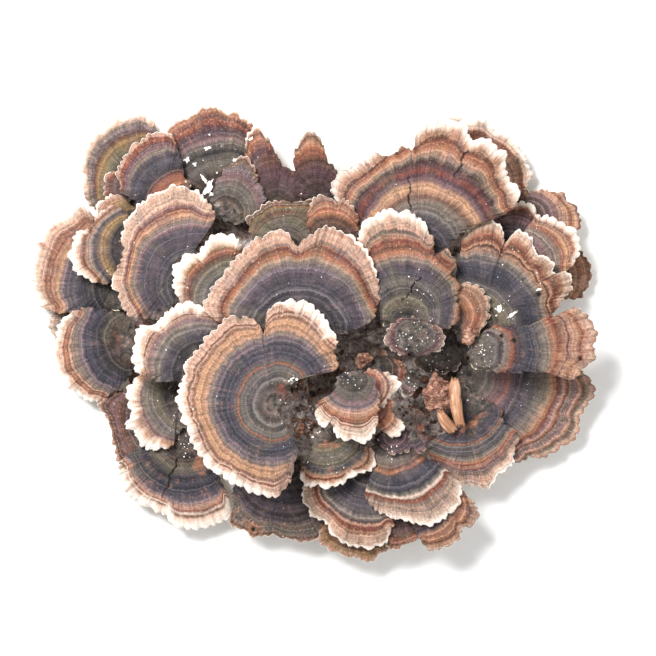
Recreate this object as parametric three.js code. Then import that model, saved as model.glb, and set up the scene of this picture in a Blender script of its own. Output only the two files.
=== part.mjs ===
// Turkey tail fungus: a rosette of thin zoned bracket caps, all rooted in one mat of tissue cut flat from its log.
// Millimetres, +Z up. The cut face lies on z = 0, and the origin is under the middle of the rosette.
import * as THREE from "three";
import { mergeVertices } from "three/addons/utils/BufferGeometryUtils.js";

// ---- driving dimensions, mm ----
const RIM_STEP = 11; // longest chord along a cap's margin
const UMBO_THICKNESS = { least: 2, most: 5 }; // flesh at the growth centre of a small and of a large cap
const MARGIN_THICKNESS = 1.1; // flesh near the margin
const LARGE_CAP_REACH = 36; // reach from umbo to margin at which the flesh is at its thickest
const CLEARANCE = 1.1; // least air between a cap and what lies under it
const SEAT_GAP = 0.3; // gap between a foot and what it grows from
const FLOOR_CLEARANCE = 1.6; // a margin never hangs lower than this above the cut face
const FOOT_SHARE = 0.46; // foot radius under the cap as a share of the cap's reach
const FOOT_RADIUS = { least: 2.4, most: 14 };
const FOOT_TAPER = 0.55; // foot radius at its seat over its radius under the cap
const LEAST_FOOT = 0.4; // height of the shortest foot
const TOP_RINGS = [0.5, 0.84, 1]; // places of the rings from umbo to margin
const UNDER_RING = 0.84;

// The mat of tissue: its plan outline, its thickness at the edge, and the mound that rises in the middle.
const MAT_RIM = [
  [-74, 66], [-58, 66], [-38, 60], [-16, 58], [2, 60], [30, 56], [62, 62], [82, 54], [94, 42], [98, 24], [88, 6],
  [76, -14], [70, -32], [62, -50], [48, -68], [34, -76], [16, -76], [0, -66], [-16, -62], [-40, -54], [-64, -46],
  [-72, -30], [-82, -10], [-88, 10], [-84, 34], [-80, 54],
];
const MAT_CENTRE = [2, -4];
const MAT_EDGE = 4;
const MAT_RINGS = [0.08, 0.16, 0.24, 0.32, 0.41, 0.5, 0.6, 0.7, 0.8, 0.9, 1];
const MAT_STEP = 14; // longest chord along the mat's outline
const MAT_AIR = 0.9; // least air between the mat and the caps over it
const MOUND = { at: [0, -12], height: 13, width: 48 };
const RISE_WIDTH = 0.9; // width of the rise of tissue under a cap, as a share of the cap's reach
// Lumps of tissue that fill the open middle: centre, height and width.
const LUMPS = [
  { at: [-4, -30], height: 7, width: 11 },
  { at: [8, -8], height: 6, width: 8 },
  { at: [34, -30], height: 5, width: 10 },
  { at: [50, -40], height: 4, width: 9 },
  { at: [-8, -46], height: 6, width: 7 },
];

// ---- flesh tones, one for each kind of cap ----
const TONES = {
  buff: 0xc9a98c,
  tan: 0xc79c78,
  rust: 0x9a6048,
  slate: 0x5c545c,
  olive: 0x8d8468,
  maroon: 0x6b4650,
  pale: 0xe3d3ba,
  umber: 0x4a3a34,
};

// ---- caps, in growth order from the lowest to the topmost ----
// umbo: the growth centre; rim: the margin's turning points, anticlockwise or clockwise; pitch: slope down towards
// the front, degrees; droop: how far the margin curls down; wave and lobes: the margin's undulation.
// A rim point with four numbers also says through where the cap's flesh reaches it, where a lobe curls round.
const CAPS = [
  { name: "cap_far_left_under", tone: "buff", umbo: [-96, 6], pitch: 2, droop: 0.4, wave: 0.3, lobes: 3,
    rim: [[-92, 4], [-98, -2], [-106, -3], [-108, 2], [-106, 8], [-99, 11], [-92, 10]] },
  { name: "cap_left_brown_strip", tone: "rust", umbo: [-64, -36], pitch: 3, droop: 1.2, wave: 0.8, lobes: 4,
    rim: [[-67, -25], [-79, -23], [-88, -28], [-84, -36], [-82, -45], [-80, -52], [-71, -51], [-61, -45],
      [-57, -37], [-60, -29]] },
  { name: "cap_bottom_slate", tone: "slate", umbo: [-14, -57], pitch: 4, droop: 1.6, wave: 0.9, lobes: 6,
    rim: [[-33, -60], [-34, -69], [-35, -76], [-30, -80], [-25, -82.5], [-18, -81.5], [-12, -83.5], [-4, -84],
      [1, -83], [4, -76], [1, -66], [-4, -55], [-13, -50], [-24, -52]] },
  { name: "cap_bottom_ochre", tone: "olive", umbo: [17, -74], pitch: 3, droop: 1.4, wave: 0.8, lobes: 5,
    rim: [[1, -79], [1, -85], [8, -89], [13, -90], [18, -92], [23, -91.5], [28, -87.5], [30, -81], [27, -72],
      [17, -67], [7, -71]] },
  { name: "cap_bottom_dark", tone: "umber", umbo: [34, -73], pitch: 3, droop: 0.8, wave: 0.5, lobes: 4,
    rim: [[27, -82], [28, -87], [34, -86], [38, -84], [42, -81], [42, -74], [38, -68], [30, -67], [26, -74]] },
  { name: "cap_bottom_right", tone: "tan", umbo: [43, -67], pitch: 4, droop: 1.4, wave: 0.9, lobes: 5,
    rim: [[56, -62], [62, -67], [65, -73], [62, -78.5], [58, -78], [57, -83.5], [51, -86.5], [44, -87],
      [40, -81], [36, -73], [36, -62], [46, -57]] },
  { name: "cap_far_left", tone: "buff", umbo: [-82, 20], pitch: 4, droop: 2, wave: 1.2, lobes: 5,
    rim: [[-85, 38], [-90, 47], [-96, 51.5], [-102, 47], [-109, 43.5], [-113, 36], [-115.5, 26], [-115, 17],
      [-111, 10], [-104, 7.5], [-95, 8], [-86, 8], [-77, 10], [-73, 20], [-76, 30]] },
  { name: "cap_left_lower", tone: "buff", umbo: [-78, -5], pitch: 4, droop: 1.8, wave: 1, lobes: 5,
    rim: [[-80, 8], [-89, 9.5], [-97, 9], [-103, 4.5], [-105.5, -3], [-106.5, -9], [-104.5, -16], [-100, -22],
      [-92, -28], [-85, -26.5], [-79, -22], [-73, -15], [-70, -5], [-73, 4]] },
  { name: "cap_top_left_outer", tone: "tan", umbo: [-72, 62], pitch: 4, droop: 1.8, wave: 1, lobes: 5,
    rim: [[-76, 50], [-84, 49], [-91, 50], [-94, 57], [-95.5, 64], [-95, 71], [-92, 77.5], [-86, 83], [-79, 87],
      [-70, 88.5], [-66, 85], [-62, 76], [-60, 64], [-66, 54]] },
  { name: "cap_top_left_sliver", tone: "rust", umbo: [-77, 58], pitch: 3, droop: 0.6, wave: 0.4, lobes: 3,
    rim: [[-76, 64], [-80.5, 65], [-84.5, 62.5], [-86, 58], [-84.5, 53.5], [-80, 51.5], [-74, 53], [-71, 59]] },
  { name: "cap_left_crenate", tone: "pale", umbo: [-77, 45], pitch: 3, droop: 0.8, wave: 0.6, lobes: 5,
    rim: [[-86, 43], [-89, 49], [-86.5, 53.5], [-80, 55], [-74.5, 52], [-70, 47], [-71, 40], [-77, 38]] },
  { name: "cap_top_weathered", tone: "maroon", umbo: [-38, 54], pitch: 3, droop: 2, wave: 1.4, lobes: 6,
    rim: [[-52, 56], [-57, 66], [-61, 76], [-60, 83], [-53.5, 86.5], [-49, 89.5], [-42, 91.5], [-35, 89],
      [-29, 87], [-24.5, 80], [-22, 70], [-22, 58], [-29, 47], [-40, 44], [-49, 48]] },
  { name: "cap_top_maroon", tone: "maroon", umbo: [-16, 52], pitch: 2, droop: 1, wave: 0.8, lobes: 4,
    rim: [[-29, 69], [-28, 79], [-23.5, 82.5], [-20, 78], [-16.5, 72], [-13, 66.5], [-8, 64], [-6, 57],
      [-8, 48], [-17, 44], [-26, 54]] },
  { name: "cap_top_tongue", tone: "rust", umbo: [0, 55], pitch: -14, droop: 0.6, wave: 0.6, lobes: 3,
    rim: [[-7, 54], [-9, 63], [-9, 72], [-6, 78.5], [-2, 80.5], [2, 76.5], [4, 70], [8.5, 63], [8, 54],
      [1, 49]] },
  { name: "cap_right_dark_sliver", tone: "umber", umbo: [80, 51], pitch: 2, droop: 0.5, wave: 0.3, lobes: 3,
    rim: [[79, 58], [84, 57], [87, 53.5], [86, 48], [80, 46], [75, 50]] },
  { name: "cap_top_right_behind", tone: "rust", umbo: [62, 60], pitch: 3, droop: 1.8, wave: 1.1, lobes: 6,
    rim: [[45, 76], [48, 84.5], [55, 87.5], [61, 85.5], [67, 86], [71, 82], [77, 79], [82.5, 73], [86, 66],
      [85.5, 60], [79, 54], [70, 50], [60, 50], [50, 60]] },
  { name: "cap_right_peach", tone: "tan", umbo: [88, 45], pitch: 3, droop: 1, wave: 0.7, lobes: 5,
    rim: [[81, 49], [86, 56], [92, 57.5], [98, 55.5], [103, 52], [106, 46.5], [105, 40], [100, 35], [90, 34],
      [82, 40]] },
  { name: "cap_far_right_small", tone: "tan", umbo: [95, 22], pitch: 3, droop: 1, wave: 0.6, lobes: 4,
    rim: [[92, 28], [99, 32], [105, 33.5], [109, 30], [110.5, 23], [109, 16.5], [104, 13.5], [97, 13],
      [90, 17]] },
  { name: "cap_right_mauve", tone: "umber", umbo: [79, 35], pitch: 3, droop: 1, wave: 0.6, lobes: 4,
    rim: [[70, 46], [75, 50.5], [80, 52], [85, 52.5], [88.5, 48], [92, 42], [91, 34], [84, 27], [74, 28],
      [69, 36]] },
  { name: "cap_right_white_edged", tone: "tan", umbo: [84, 28], pitch: 3, droop: 1.2, wave: 0.8, lobes: 5,
    rim: [[81, 38], [86, 44], [91, 47], [96, 45], [101, 43], [105, 38], [105.5, 32], [102.5, 27], [98, 22],
      [89, 18], [79, 21], [77, 30]] },
  { name: "cap_right_lower_large", tone: "tan", umbo: [62, -19], pitch: 3, droop: 2.4, wave: 1.4, lobes: 7,
    rim: [[64, -12], [76, -11], [88, -11], [98, -13], [107, -16], [112, -22.5], [110, -28], [106, -34],
      [106, -39], [101.5, -45], [93, -49.5], [84, -51.5], [76, -52], [69, -45], [62, -35], [56, -26],
      [56, -16]] },
  { name: "cap_right_slate", tone: "tan", umbo: [66, 8], pitch: 5, droop: 2.2, wave: 1.3, lobes: 7,
    rim: [[55, 10], [54.5, 20], [57, 30], [58, 38], [64, 44], [70, 45], [74.5, 41], [75, 35.5], [80, 41],
      [86, 37.5], [88.5, 31.5], [94, 29], [95, 24], [100, 24], [102.5, 18], [98, 12.5], [94, 6], [86, 1],
      [76, -1], [66, -1], [58, 2]] },
  { name: "cap_right_straight", tone: "tan", umbo: [66, -7.4], pitch: 3, droop: 1.8, wave: 1.1, lobes: 6,
    rim: [[60, -8], [62, -3], [68, 1.5], [76, 3], [84, 2.5], [88, 3], [91, 6], [96, 6.5], [103, 10], [108, 7],
      [112, -1], [111, -6], [111.5, -10], [107, -14.5], [102, -19], [97, -18], [91, -16], [80, -16.5],
      [70, -16], [62, -14]] },
  { name: "cap_right_inner_orange", tone: "rust", umbo: [58, 8], pitch: 4, droop: 1, wave: 0.6, lobes: 4,
    rim: [[53, 14], [57, 19.5], [62, 19.5], [66.5, 17], [69, 11], [68, 4], [64, -1], [58, -2], [53, 2]] },
  { name: "cap_top_right_large", tone: "rust", umbo: [41, 38], pitch: 4, droop: 2.6, wave: 1.5, lobes: 8,
    rim: [[22, 38], [15, 44], [8, 51], [5.5, 59], [10, 64.5], [17, 67.5], [22, 71.5], [29, 70.5], [33, 74],
      [38, 73], [40, 80], [46, 84.5], [53, 85.5], [59, 83.5], [62, 78], [68, 77], [75.5, 71.5], [76, 62.5],
      [81, 58], [79, 50], [72, 45.5], [62, 42], [54, 36], [47, 31], [38, 29], [29, 31]] },
  { name: "cap_centre_right", tone: "slate", umbo: [36, 7], pitch: 5, droop: 2.2, wave: 1.2, lobes: 6,
    rim: [[24, 10], [19, 24], [16, 36], [18, 43], [25, 48], [32, 49], [39, 47], [46, 39], [47, 31.5], [52, 33],
      [55.5, 27], [54, 22.5], [57.5, 18], [55.5, 13.5], [57.5, 8], [54, 2], [45, 0], [36, -1], [27, 2]] },
  { name: "cap_top_grey", tone: "slate", umbo: [-34, 51], pitch: 3, droop: 1, wave: 0.8, lobes: 4,
    rim: [[-25, 45], [-20.5, 52], [-22, 58], [-25, 66], [-28.5, 70.5], [-34, 68], [-40, 61], [-42, 53],
      [-40, 46], [-33, 43]] },
  { name: "cap_centre_olive", tone: "olive", umbo: [-13, 38], pitch: 2, droop: 1, wave: 0.8, lobes: 5,
    rim: [[-26, 38], [-28.5, 44], [-24, 49], [-17, 53], [-11, 52], [-4, 53], [2, 51], [2, 43], [-2, 35],
      [-12, 31], [-21, 32]] },
  { name: "cap_centre_twin_lobed", tone: "rust", umbo: [6, 40], pitch: 2, droop: 1, wave: 0.8, lobes: 4,
    rim: [[-4, 44], [-3, 51], [2, 55], [6, 54], [8, 51.5], [11, 53], [15.5, 49], [17, 43], [15, 36], [8, 32],
      [0, 34]] },
  { name: "cap_left_white_edged", tone: "pale", umbo: [-78, 34], pitch: 4, droop: 1.6, wave: 1.1, lobes: 6,
    rim: [[-70, 42], [-76, 48], [-81, 50.5], [-87.5, 48], [-91, 42], [-97, 39.5], [-99, 32], [-98, 25],
      [-92, 21], [-85, 19], [-78, 21], [-71, 26], [-68, 34]] },
  { name: "cap_top_left_inner", tone: "maroon", umbo: [-60, 57], pitch: 4, droop: 1.6, wave: 0.9, lobes: 5,
    rim: [[-66, 50], [-73, 52], [-80, 58.5], [-79, 68.5], [-75, 73.5], [-70, 78], [-64, 80.5], [-58, 78.5],
      [-55, 72], [-53, 64], [-50, 56], [-52, 49], [-59, 47]] },
  { name: "cap_upper_left_large", tone: "slate", umbo: [-55, 24], pitch: 5, droop: 2.4, wave: 1.3, lobes: 7,
    rim: [[-47, 36], [-45, 40.5], [-41, 44], [-41.5, 50], [-46, 54.5], [-48, 57], [-57, 58.5], [-65, 55.5],
      [-71, 51.5], [-76.5, 44.5], [-78.5, 38], [-77.5, 31], [-81, 24.5], [-82, 19], [-79, 13], [-76, 7],
      [-68, 5], [-60, 6], [-52, 11], [-47, 18], [-46, 27]] },
  { name: "knob_grey", tone: "umber", umbo: [49, -7], pitch: 0, droop: 1.2, wave: 0.5, lobes: 4,
    rim: [[40, -6], [39, -13], [44, -16.5], [51, -17], [57, -14], [58, -7], [54, -1], [46, 0]] },
  { name: "knob_ringed", tone: "maroon", umbo: [39, -1], pitch: 3, droop: 1.4, wave: 0.4, lobes: 4,
    rim: [[28, 2], [27, -3], [29, -7], [33, -9.5], [38, -8.5], [43, -9.5], [49, -7], [51, -1], [45, 4],
      [36, 6]] },
  { name: "cap_left_frilly", tone: "pale", umbo: [-38, 18], pitch: 4, droop: 1.4, wave: 1.2, lobes: 8,
    rim: [[-53, 9], [-56, 14], [-58, 21.5], [-55, 29], [-50.5, 32], [-47.5, 31], [-44, 37], [-38, 39.5],
      [-32, 38], [-29, 31], [-27, 22], [-31, 12], [-41, 7]] },
  { name: "cap_bottom_left_twin", tone: "slate", umbo: [-54, -45], pitch: 5, droop: 2.2, wave: 1.2, lobes: 6,
    rim: [[-70, -45], [-77, -50], [-80, -56], [-77.5, -63.5], [-70, -70.5], [-63, -72.5], [-57, -78.5],
      [-50.5, -79.5], [-41.5, -78], [-35, -74.5], [-34.5, -69.5], [-38.5, -59], [-43, -50], [-47, -41],
      [-54, -38], [-63, -40]] },
  { name: "cap_scalloped", tone: "pale", umbo: [-56, -28], pitch: 4, droop: 1.6, wave: 1, lobes: 6,
    rim: [[-60, -16], [-70, -17.5], [-75.5, -21], [-76.5, -26], [-75, -33], [-76.5, -37.5], [-72.5, -42],
      [-70.5, -46.5], [-64, -47], [-58, -46.5], [-56, -41], [-50, -37], [-47, -28], [-51, -19]] },
  { name: "cap_bottom_cream", tone: "buff", umbo: [18, -59], pitch: 4, droop: 2, wave: 1, lobes: 6,
    rim: [[-2, -56], [-5.5, -61], [-6, -67], [-2.5, -73], [3, -77], [7, -82], [12, -85.5], [18, -86.5],
      [24, -86.5], [28.5, -83], [30.5, -77], [29.5, -68], [27, -58], [20, -52], [9, -51]] },
  { name: "cap_lower_right_tan", tone: "tan", umbo: [60, -36], pitch: 4, droop: 1.8, wave: 1.1, lobes: 7,
    rim: [[44, -49], [43.5, -46], [47, -42.5], [52.5, -39.5], [54, -31], [54, -24], [56, -20], [61, -22.5],
      [68, -27.5], [74, -31], [75, -36], [79.5, -39.5], [81, -43.5], [79, -49], [78.5, -53.5], [73, -57],
      [71, -61], [66, -63], [61, -61.5], [56, -62], [49, -57]] },
  { name: "cap_lower_large", tone: "buff", umbo: [31, -44], pitch: 5, droop: 2.2, wave: 1.1, lobes: 6,
    rim: [[22, -46], [21.5, -56], [19, -65], [23, -71], [29, -74], [37, -76], [45, -77.5], [52, -74],
      [57, -68.5], [58, -62], [52, -55], [44, -50.5], [39, -45], [35, -38], [26, -38]] },
  { name: "cap_lower_olive", tone: "olive", umbo: [5, -43], pitch: 4, droop: 1.4, wave: 1, lobes: 6,
    rim: [[-2, -39], [-2, -46], [-4.5, -51], [-7, -57], [-4, -61.5], [4, -62], [10, -61], [14.5, -57.5],
      [21.5, -55.5], [23.5, -49], [20, -44], [14, -38], [7, -35]] },
  { name: "tongue_plum", tone: "maroon", umbo: [31, -42], pitch: 3, droop: 0.6, wave: 0.3, lobes: 3,
    rim: [[25, -40], [31, -38], [37, -40], [38, -45], [35, -48.5], [30, -48.5], [25.5, -45.5]] },
  { name: "tongue_purple", tone: "maroon", umbo: [39, -43], pitch: 3, droop: 0.5, wave: 0.2, lobes: 3,
    rim: [[36.5, -40], [39, -39.5], [41.5, -43], [43.2, -46.5], [42, -48.7], [39, -47.5], [37, -45]] },
  { name: "tongue_red", tone: "rust", umbo: [41, -35], pitch: -4, droop: 0.3, wave: 0.2, lobes: 3,
    rim: [[38.5, -33], [40, -31], [42.3, -33], [42.8, -36.5], [43.3, -39], [41.5, -40.5], [39.5, -37]] },
  { name: "tongue_brown", tone: "rust", umbo: [26, -15], pitch: 3, droop: 0.6, wave: 0.4, lobes: 3,
    rim: [[21, -13], [24, -10.5], [30, -10], [34, -12], [36.3, -17], [34.5, -20], [29, -19], [23, -18]] },
  { name: "tongue_tiny", tone: "umber", umbo: [23, -8], pitch: 0, droop: 0.3, wave: 0.2, lobes: 3,
    rim: [[21, -5.5], [24, -6], [27, -7], [27.5, -9], [24.5, -10], [21, -9.5]] },
  { name: "tongue_pale", tone: "olive", umbo: [39, -18], pitch: -3, droop: 0.6, wave: 0.2, lobes: 3,
    rim: [[41, -14.5], [42, -18], [40, -23], [36.5, -26.2], [33.2, -25], [33.5, -21], [36, -17]] },
  { name: "frill_lower", tone: "pale", umbo: [23, -31], pitch: 3, droop: 0.8, wave: 0.7, lobes: 4,
    rim: [[20, -26], [26, -25], [29.5, -27.5], [31, -32.5], [35, -37], [34, -40.5], [30.5, -41.8], [25, -39],
      [20, -37], [18, -31]] },
  { name: "frill_upper", tone: "pale", umbo: [21, -22], pitch: 3, droop: 0.8, wave: 0.7, lobes: 4,
    rim: [[16, -19], [18, -15.5], [22, -14.5], [27, -15.5], [32, -18], [33.5, -20.5], [31, -24.5],
      [28.5, -26.5], [27, -30], [21, -29], [17, -25]] },
  { name: "frill_centre", tone: "pale", umbo: [14, -22], pitch: 4, droop: 1.4, wave: 1.1, lobes: 6,
    rim: [[-1, -31], [2, -26.5], [7, -23], [8, -18], [13, -15], [19, -16], [23.5, -19.5], [25, -25],
      [24.5, -32], [23.5, -39], [19, -44], [12, -43], [7.5, -41.5], [5.5, -36], [3, -38], [0, -36]] },
  { name: "cap_white_wing", tone: "slate", umbo: [-50, -10], pitch: 4, droop: 1.8, wave: 1.1, lobes: 6,
    rim: [[-36, 2], [-41, 6.5], [-46, 11], [-53, 12], [-59, 9], [-64, 3.5], [-70, 2.5], [-73, -3],
      [-73.5, -10], [-72, -16], [-66, -19], [-58, -20], [-48, -20], [-40, -16], [-36, -7]] },
  { name: "cap_centre_large", tone: "slate", umbo: [-8, 6], pitch: 4, droop: 2.6, wave: 1.5, lobes: 8,
    rim: [[-38, 3], [-45, 9], [-43, 16], [-38, 22.5], [-33, 29], [-27, 35], [-20, 39.5], [-13, 40.5],
      [-7.5, 35], [-2, 39.5], [3, 42], [11, 40], [19, 34], [23.5, 25], [25, 14], [22, 5], [14, 0], [6, -1],
      [-2, -4], [-14, -5], [-27, -2]] },
  { name: "cap_kidney", tone: "slate", umbo: [-18, -27], pitch: 2, droop: 3, wave: 1.4, lobes: 7,
    rim: [[-8.8, -43], [-7.5, -47], [-8.5, -52], [-10, -58], [-14, -64], [-18, -65.8], [-25, -64],
      [-31, -61.5], [-36, -58.5], [-42, -55], [-47, -49], [-51, -41], [-54, -33], [-56, -26], [-54, -20],
      [-52, -12.5], [-46, -4.5], [-41, 1], [-36, 5.5], [-30, 6.5], [-24, 4.5], [-21, 0], [-19.5, 9],
      [-14, 12], [-6, 13], [1, 8.5, -8.5, -9], [5, 3.5, -7.5, -11], [8, -3, -7, -12], [7.5, -8, -8, -14],
      [9, -12, -9, -15.5], [6, -15.8, -11, -17], [1, -14.5, -12, -17], [-5, -15, -13, -18],
      [-9.5, -18], [-11, -24], [-14, -31], [-17, -34], [-12, -39]] },
];

// ---- loose bits of rotten wood lodged in the middle ----
// at: middle in plan; size: along, across and up; turn: in plan, and tilt: along the length, both in degrees.
const WOOD = [
  { name: "rotten_wood", shape: "crumb", at: [48.5, -25], size: [15, 13, 7], turn: 70, tilt: 0, tone: 0x8a5a44 },
  { name: "wood_crumb_left", shape: "crumb", at: [18.5, -11.3], size: [8, 5.5, 4], turn: 35, tilt: 0, tone: 0xc47a4e },
  { name: "wood_crumb_right", shape: "crumb", at: [60.5, -1.5], size: [7, 6, 4], turn: 60, tilt: 0, tone: 0xb5624a },
  { name: "wood_stick_short", shape: "stick", at: [51.5, -36], size: [9, 4.5, 2.2], turn: -55, tilt: 8,
    tone: 0xc2874f },
  { name: "wood_stick_long", shape: "stick", at: [55.7, -28], size: [18, 4.6, 3], turn: -83, tilt: -6,
    tone: 0xcda06a },
];

// ---- relief maps: heights over a fine grid in plan ----
const CELL = 0.75;
const cellKey = (column, row) => column * 100000 + row;
const NEIGHBOURS = [-1, 0, 1].flatMap((column) => [-1, 0, 1].map((row) => cellKey(column, row)));

/** Calls visit(key, z) for each cell that a triangle covers in plan. */
function eachCell(a, b, c, visit) {
  const area = (b.x - a.x) * (c.y - a.y) - (c.x - a.x) * (b.y - a.y);
  if (Math.abs(area) < 1e-9) return;
  const lowColumn = Math.ceil(Math.min(a.x, b.x, c.x) / CELL);
  const highColumn = Math.floor(Math.max(a.x, b.x, c.x) / CELL);
  const lowRow = Math.ceil(Math.min(a.y, b.y, c.y) / CELL);
  const highRow = Math.floor(Math.max(a.y, b.y, c.y) / CELL);
  for (let column = lowColumn; column <= highColumn; column++) {
    for (let row = lowRow; row <= highRow; row++) {
      const x = column * CELL;
      const y = row * CELL;
      const u = ((b.x - x) * (c.y - y) - (c.x - x) * (b.y - y)) / area;
      const v = ((c.x - x) * (a.y - y) - (a.x - x) * (c.y - y)) / area;
      const w = 1 - u - v;
      if (u < -1e-6 || v < -1e-6 || w < -1e-6) continue;
      visit(cellKey(column, row), u * a.z + v * b.z + w * c.z);
    }
  }
}

/** Raises a relief map to a solid's upper faces. */
function layDown(relief, points, triangles) {
  for (const [a, b, c] of triangles) {
    eachCell(points[a], points[b], points[c], (key, z) => {
      relief.set(key, Math.max(relief.get(key) ?? 0, z));
    });
  }
}

/** Lowers a map of ceilings to a solid's under faces, one cell beyond its edge. */
function hangOver(ceiling, points, triangles) {
  for (const [a, b, c] of triangles) {
    eachCell(points[a], points[b], points[c], (key, z) => {
      for (const step of NEIGHBOURS) ceiling.set(key + step, Math.min(ceiling.get(key + step) ?? Infinity, z));
    });
  }
}

/** How far a surface has to rise for each of its cells to clear the relief. */
function liftOver(relief, points, triangles, clearance) {
  let lift = -Infinity;
  for (const [a, b, c] of triangles) {
    eachCell(points[a], points[b], points[c], (key, z) => {
      lift = Math.max(lift, (relief.get(key) ?? 0) + clearance - z);
    });
  }
  return lift;
}

/** Presses a surface down, corner by corner, wherever it comes too near the ceiling. */
function pressUnder(ceiling, points, triangles, air, lowest) {
  let pressed = true;
  for (let round = 0; pressed && round < 200; round++) {
    pressed = false;
    for (const corners of triangles) {
      let excess = 0;
      eachCell(...corners.map((i) => points[i]), (key, z) => {
        excess = Math.max(excess, z - ((ceiling.get(key) ?? Infinity) - air));
      });
      if (excess < 0.02) continue;
      for (const i of corners) points[i].z = Math.max(lowest, points[i].z - excess);
      pressed = true;
    }
  }
}

/** The highest relief within a disc in plan. */
function highestIn(relief, centre, radius) {
  let highest = 0;
  const reach = Math.ceil(radius / CELL) + 1;
  const column = Math.round(centre[0] / CELL);
  const row = Math.round(centre[1] / CELL);
  for (let i = -reach; i <= reach; i++) {
    for (let j = -reach; j <= reach; j++) {
      if (Math.hypot(i, j) * CELL > radius + CELL) continue;
      highest = Math.max(highest, relief.get(cellKey(column + i, row + j)) ?? 0);
    }
  }
  return highest;
}

// ---- shared shapes ----

/** A closed margin through its turning points, with extra points where a chord would be long. */
function marginPoints(rim, umbo, step) {
  const turning = rim.map(([x, y, viaX, viaY]) => ({
    at: new THREE.Vector3(x, y, 0),
    via: new THREE.Vector3(viaX ?? (x + umbo[0]) / 2, viaY ?? (y + umbo[1]) / 2, 0),
  }));
  const curve = new THREE.CatmullRomCurve3(turning.map((t) => t.at), true, "centripetal");
  const points = [];
  turning.forEach((start, i) => {
    const end = turning[(i + 1) % turning.length];
    const pieces = Math.max(1, Math.round(start.at.distanceTo(end.at) / step));
    for (let k = 0; k < pieces; k++) {
      points.push({
        at: curve.getPoint((i + k / pieces) / turning.length),
        via: start.via.clone().lerp(end.via, k / pieces),
      });
    }
  });
  const turned = points.reduce((sum, p, i) => {
    const q = points[(i + 1) % points.length];
    return sum + p.at.x * q.at.y - q.at.x * p.at.y;
  }, 0);
  return turned < 0 ? points.reverse() : points;
}

/** Triangles of a stack of rings of n points, from a pole at its start to a pole at its end. */
function ringTriangles(n, ringCount) {
  const triangles = [];
  const first = 1;
  const last = first + n * ringCount;
  for (let j = 0; j < n; j++) {
    const k = (j + 1) % n;
    triangles.push([0, first + j, first + k]);
    for (let r = 0; r < ringCount - 1; r++) {
      const inner = first + r * n;
      const outer = inner + n;
      triangles.push([inner + j, outer + j, outer + k], [inner + j, outer + k, inner + k]);
    }
    triangles.push([last, last - n + k, last - n + j]);
  }
  return triangles;
}

function meshOf(name, points, triangles, colour, roughness) {
  const geometry = new THREE.BufferGeometry();
  const positions = points.flatMap((p) => [p.x, p.y, p.z]);
  geometry.setAttribute("position", new THREE.Float32BufferAttribute(positions, 3));
  geometry.setIndex(triangles.flat());
  geometry.computeVertexNormals();
  const material = new THREE.MeshStandardMaterial({ color: colour, roughness, metalness: 0 });
  const mesh = new THREE.Mesh(geometry, material);
  mesh.name = name;
  return mesh;
}

// ---- caps ----

/** A cap in its place over the caps below it, with its foot still to be let down to its seat. */
function settleCap({ name, tone, umbo, rim, pitch, droop, wave, lobes }, index, relief) {
  const margin = marginPoints(rim, umbo, RIM_STEP);
  const n = margin.length;
  const centre = new THREE.Vector3(...umbo, 0);
  const middle = margin.reduce((sum, p) => sum.add(p.at), new THREE.Vector3()).divideScalar(n);
  const front = middle.sub(centre).normalize();
  const reach = Math.max(...margin.map((p) => p.at.distanceTo(centre)));
  const { least, most } = UMBO_THICKNESS;
  const flesh = THREE.MathUtils.lerp(least, most, Math.min(1, reach / LARGE_CAP_REACH));
  const slope = Math.tan(THREE.MathUtils.degToRad(pitch));

  // A point of the upper face, at a share of the way from the umbo to margin point p.
  const upper = (p, share) => {
    const bent = p.via.clone().multiplyScalar(2 * share * (1 - share));
    const spot = centre.clone().multiplyScalar((1 - share) ** 2).add(bent).addScaledVector(p.at, share ** 2);
    const out = spot.clone().sub(centre);
    const angle = Math.atan2(p.at.y - centre.y, p.at.x - centre.x);
    const size = Math.min(1, p.at.distanceTo(centre) / reach + 0.2);
    const ripple = wave * share ** 2 * size * Math.cos(lobes * angle + index);
    spot.z = -slope * out.dot(front) - droop * size * share ** 3 + ripple;
    return spot;
  };
  const under = (p, share) => {
    const spot = upper(p, share);
    spot.z -= THREE.MathUtils.lerp(flesh, MARGIN_THICKNESS, share);
    return spot;
  };
  const footRadius = THREE.MathUtils.clamp(reach * FOOT_SHARE, FOOT_RADIUS.least, FOOT_RADIUS.most);
  const footShare = (p) => Math.min(0.55, footRadius / p.at.distanceTo(centre));

  const points = [upper(margin[0], 0)];
  for (const share of TOP_RINGS) points.push(...margin.map((p) => upper(p, share)));
  points.push(...margin.map((p) => under(p, UNDER_RING)));
  points.push(...margin.map((p) => under(p, footShare(p))));
  const seatStart = points.length;
  for (const p of points.slice(seatStart - n, seatStart)) {
    points.push(p.clone().sub(centre).multiplyScalar(FOOT_TAPER).add(centre));
  }
  points.push(centre.clone());
  const triangles = ringTriangles(n, TOP_RINGS.length + 3);

  const root = Math.min(...points.slice(seatStart - n, seatStart).map((p) => p.z));
  for (const p of points.slice(seatStart)) p.z = root - LEAST_FOOT;
  const lowest = Math.min(...points.map((p) => p.z));
  const lift = Math.max(liftOver(relief, points, triangles, CLEARANCE), FLOOR_CLEARANCE - lowest);
  for (const p of points) p.z += lift;
  const below = highestIn(relief.caps, umbo, footRadius);
  layDown(relief, points, triangles);
  layDown(relief.caps, points, triangles);
  hangOver(relief.ceiling, points, triangles);
  const rootHeight = root + lift;
  return { name, tone, umbo, reach, footRadius, points, triangles, seatStart, below, rootHeight };
}

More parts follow.
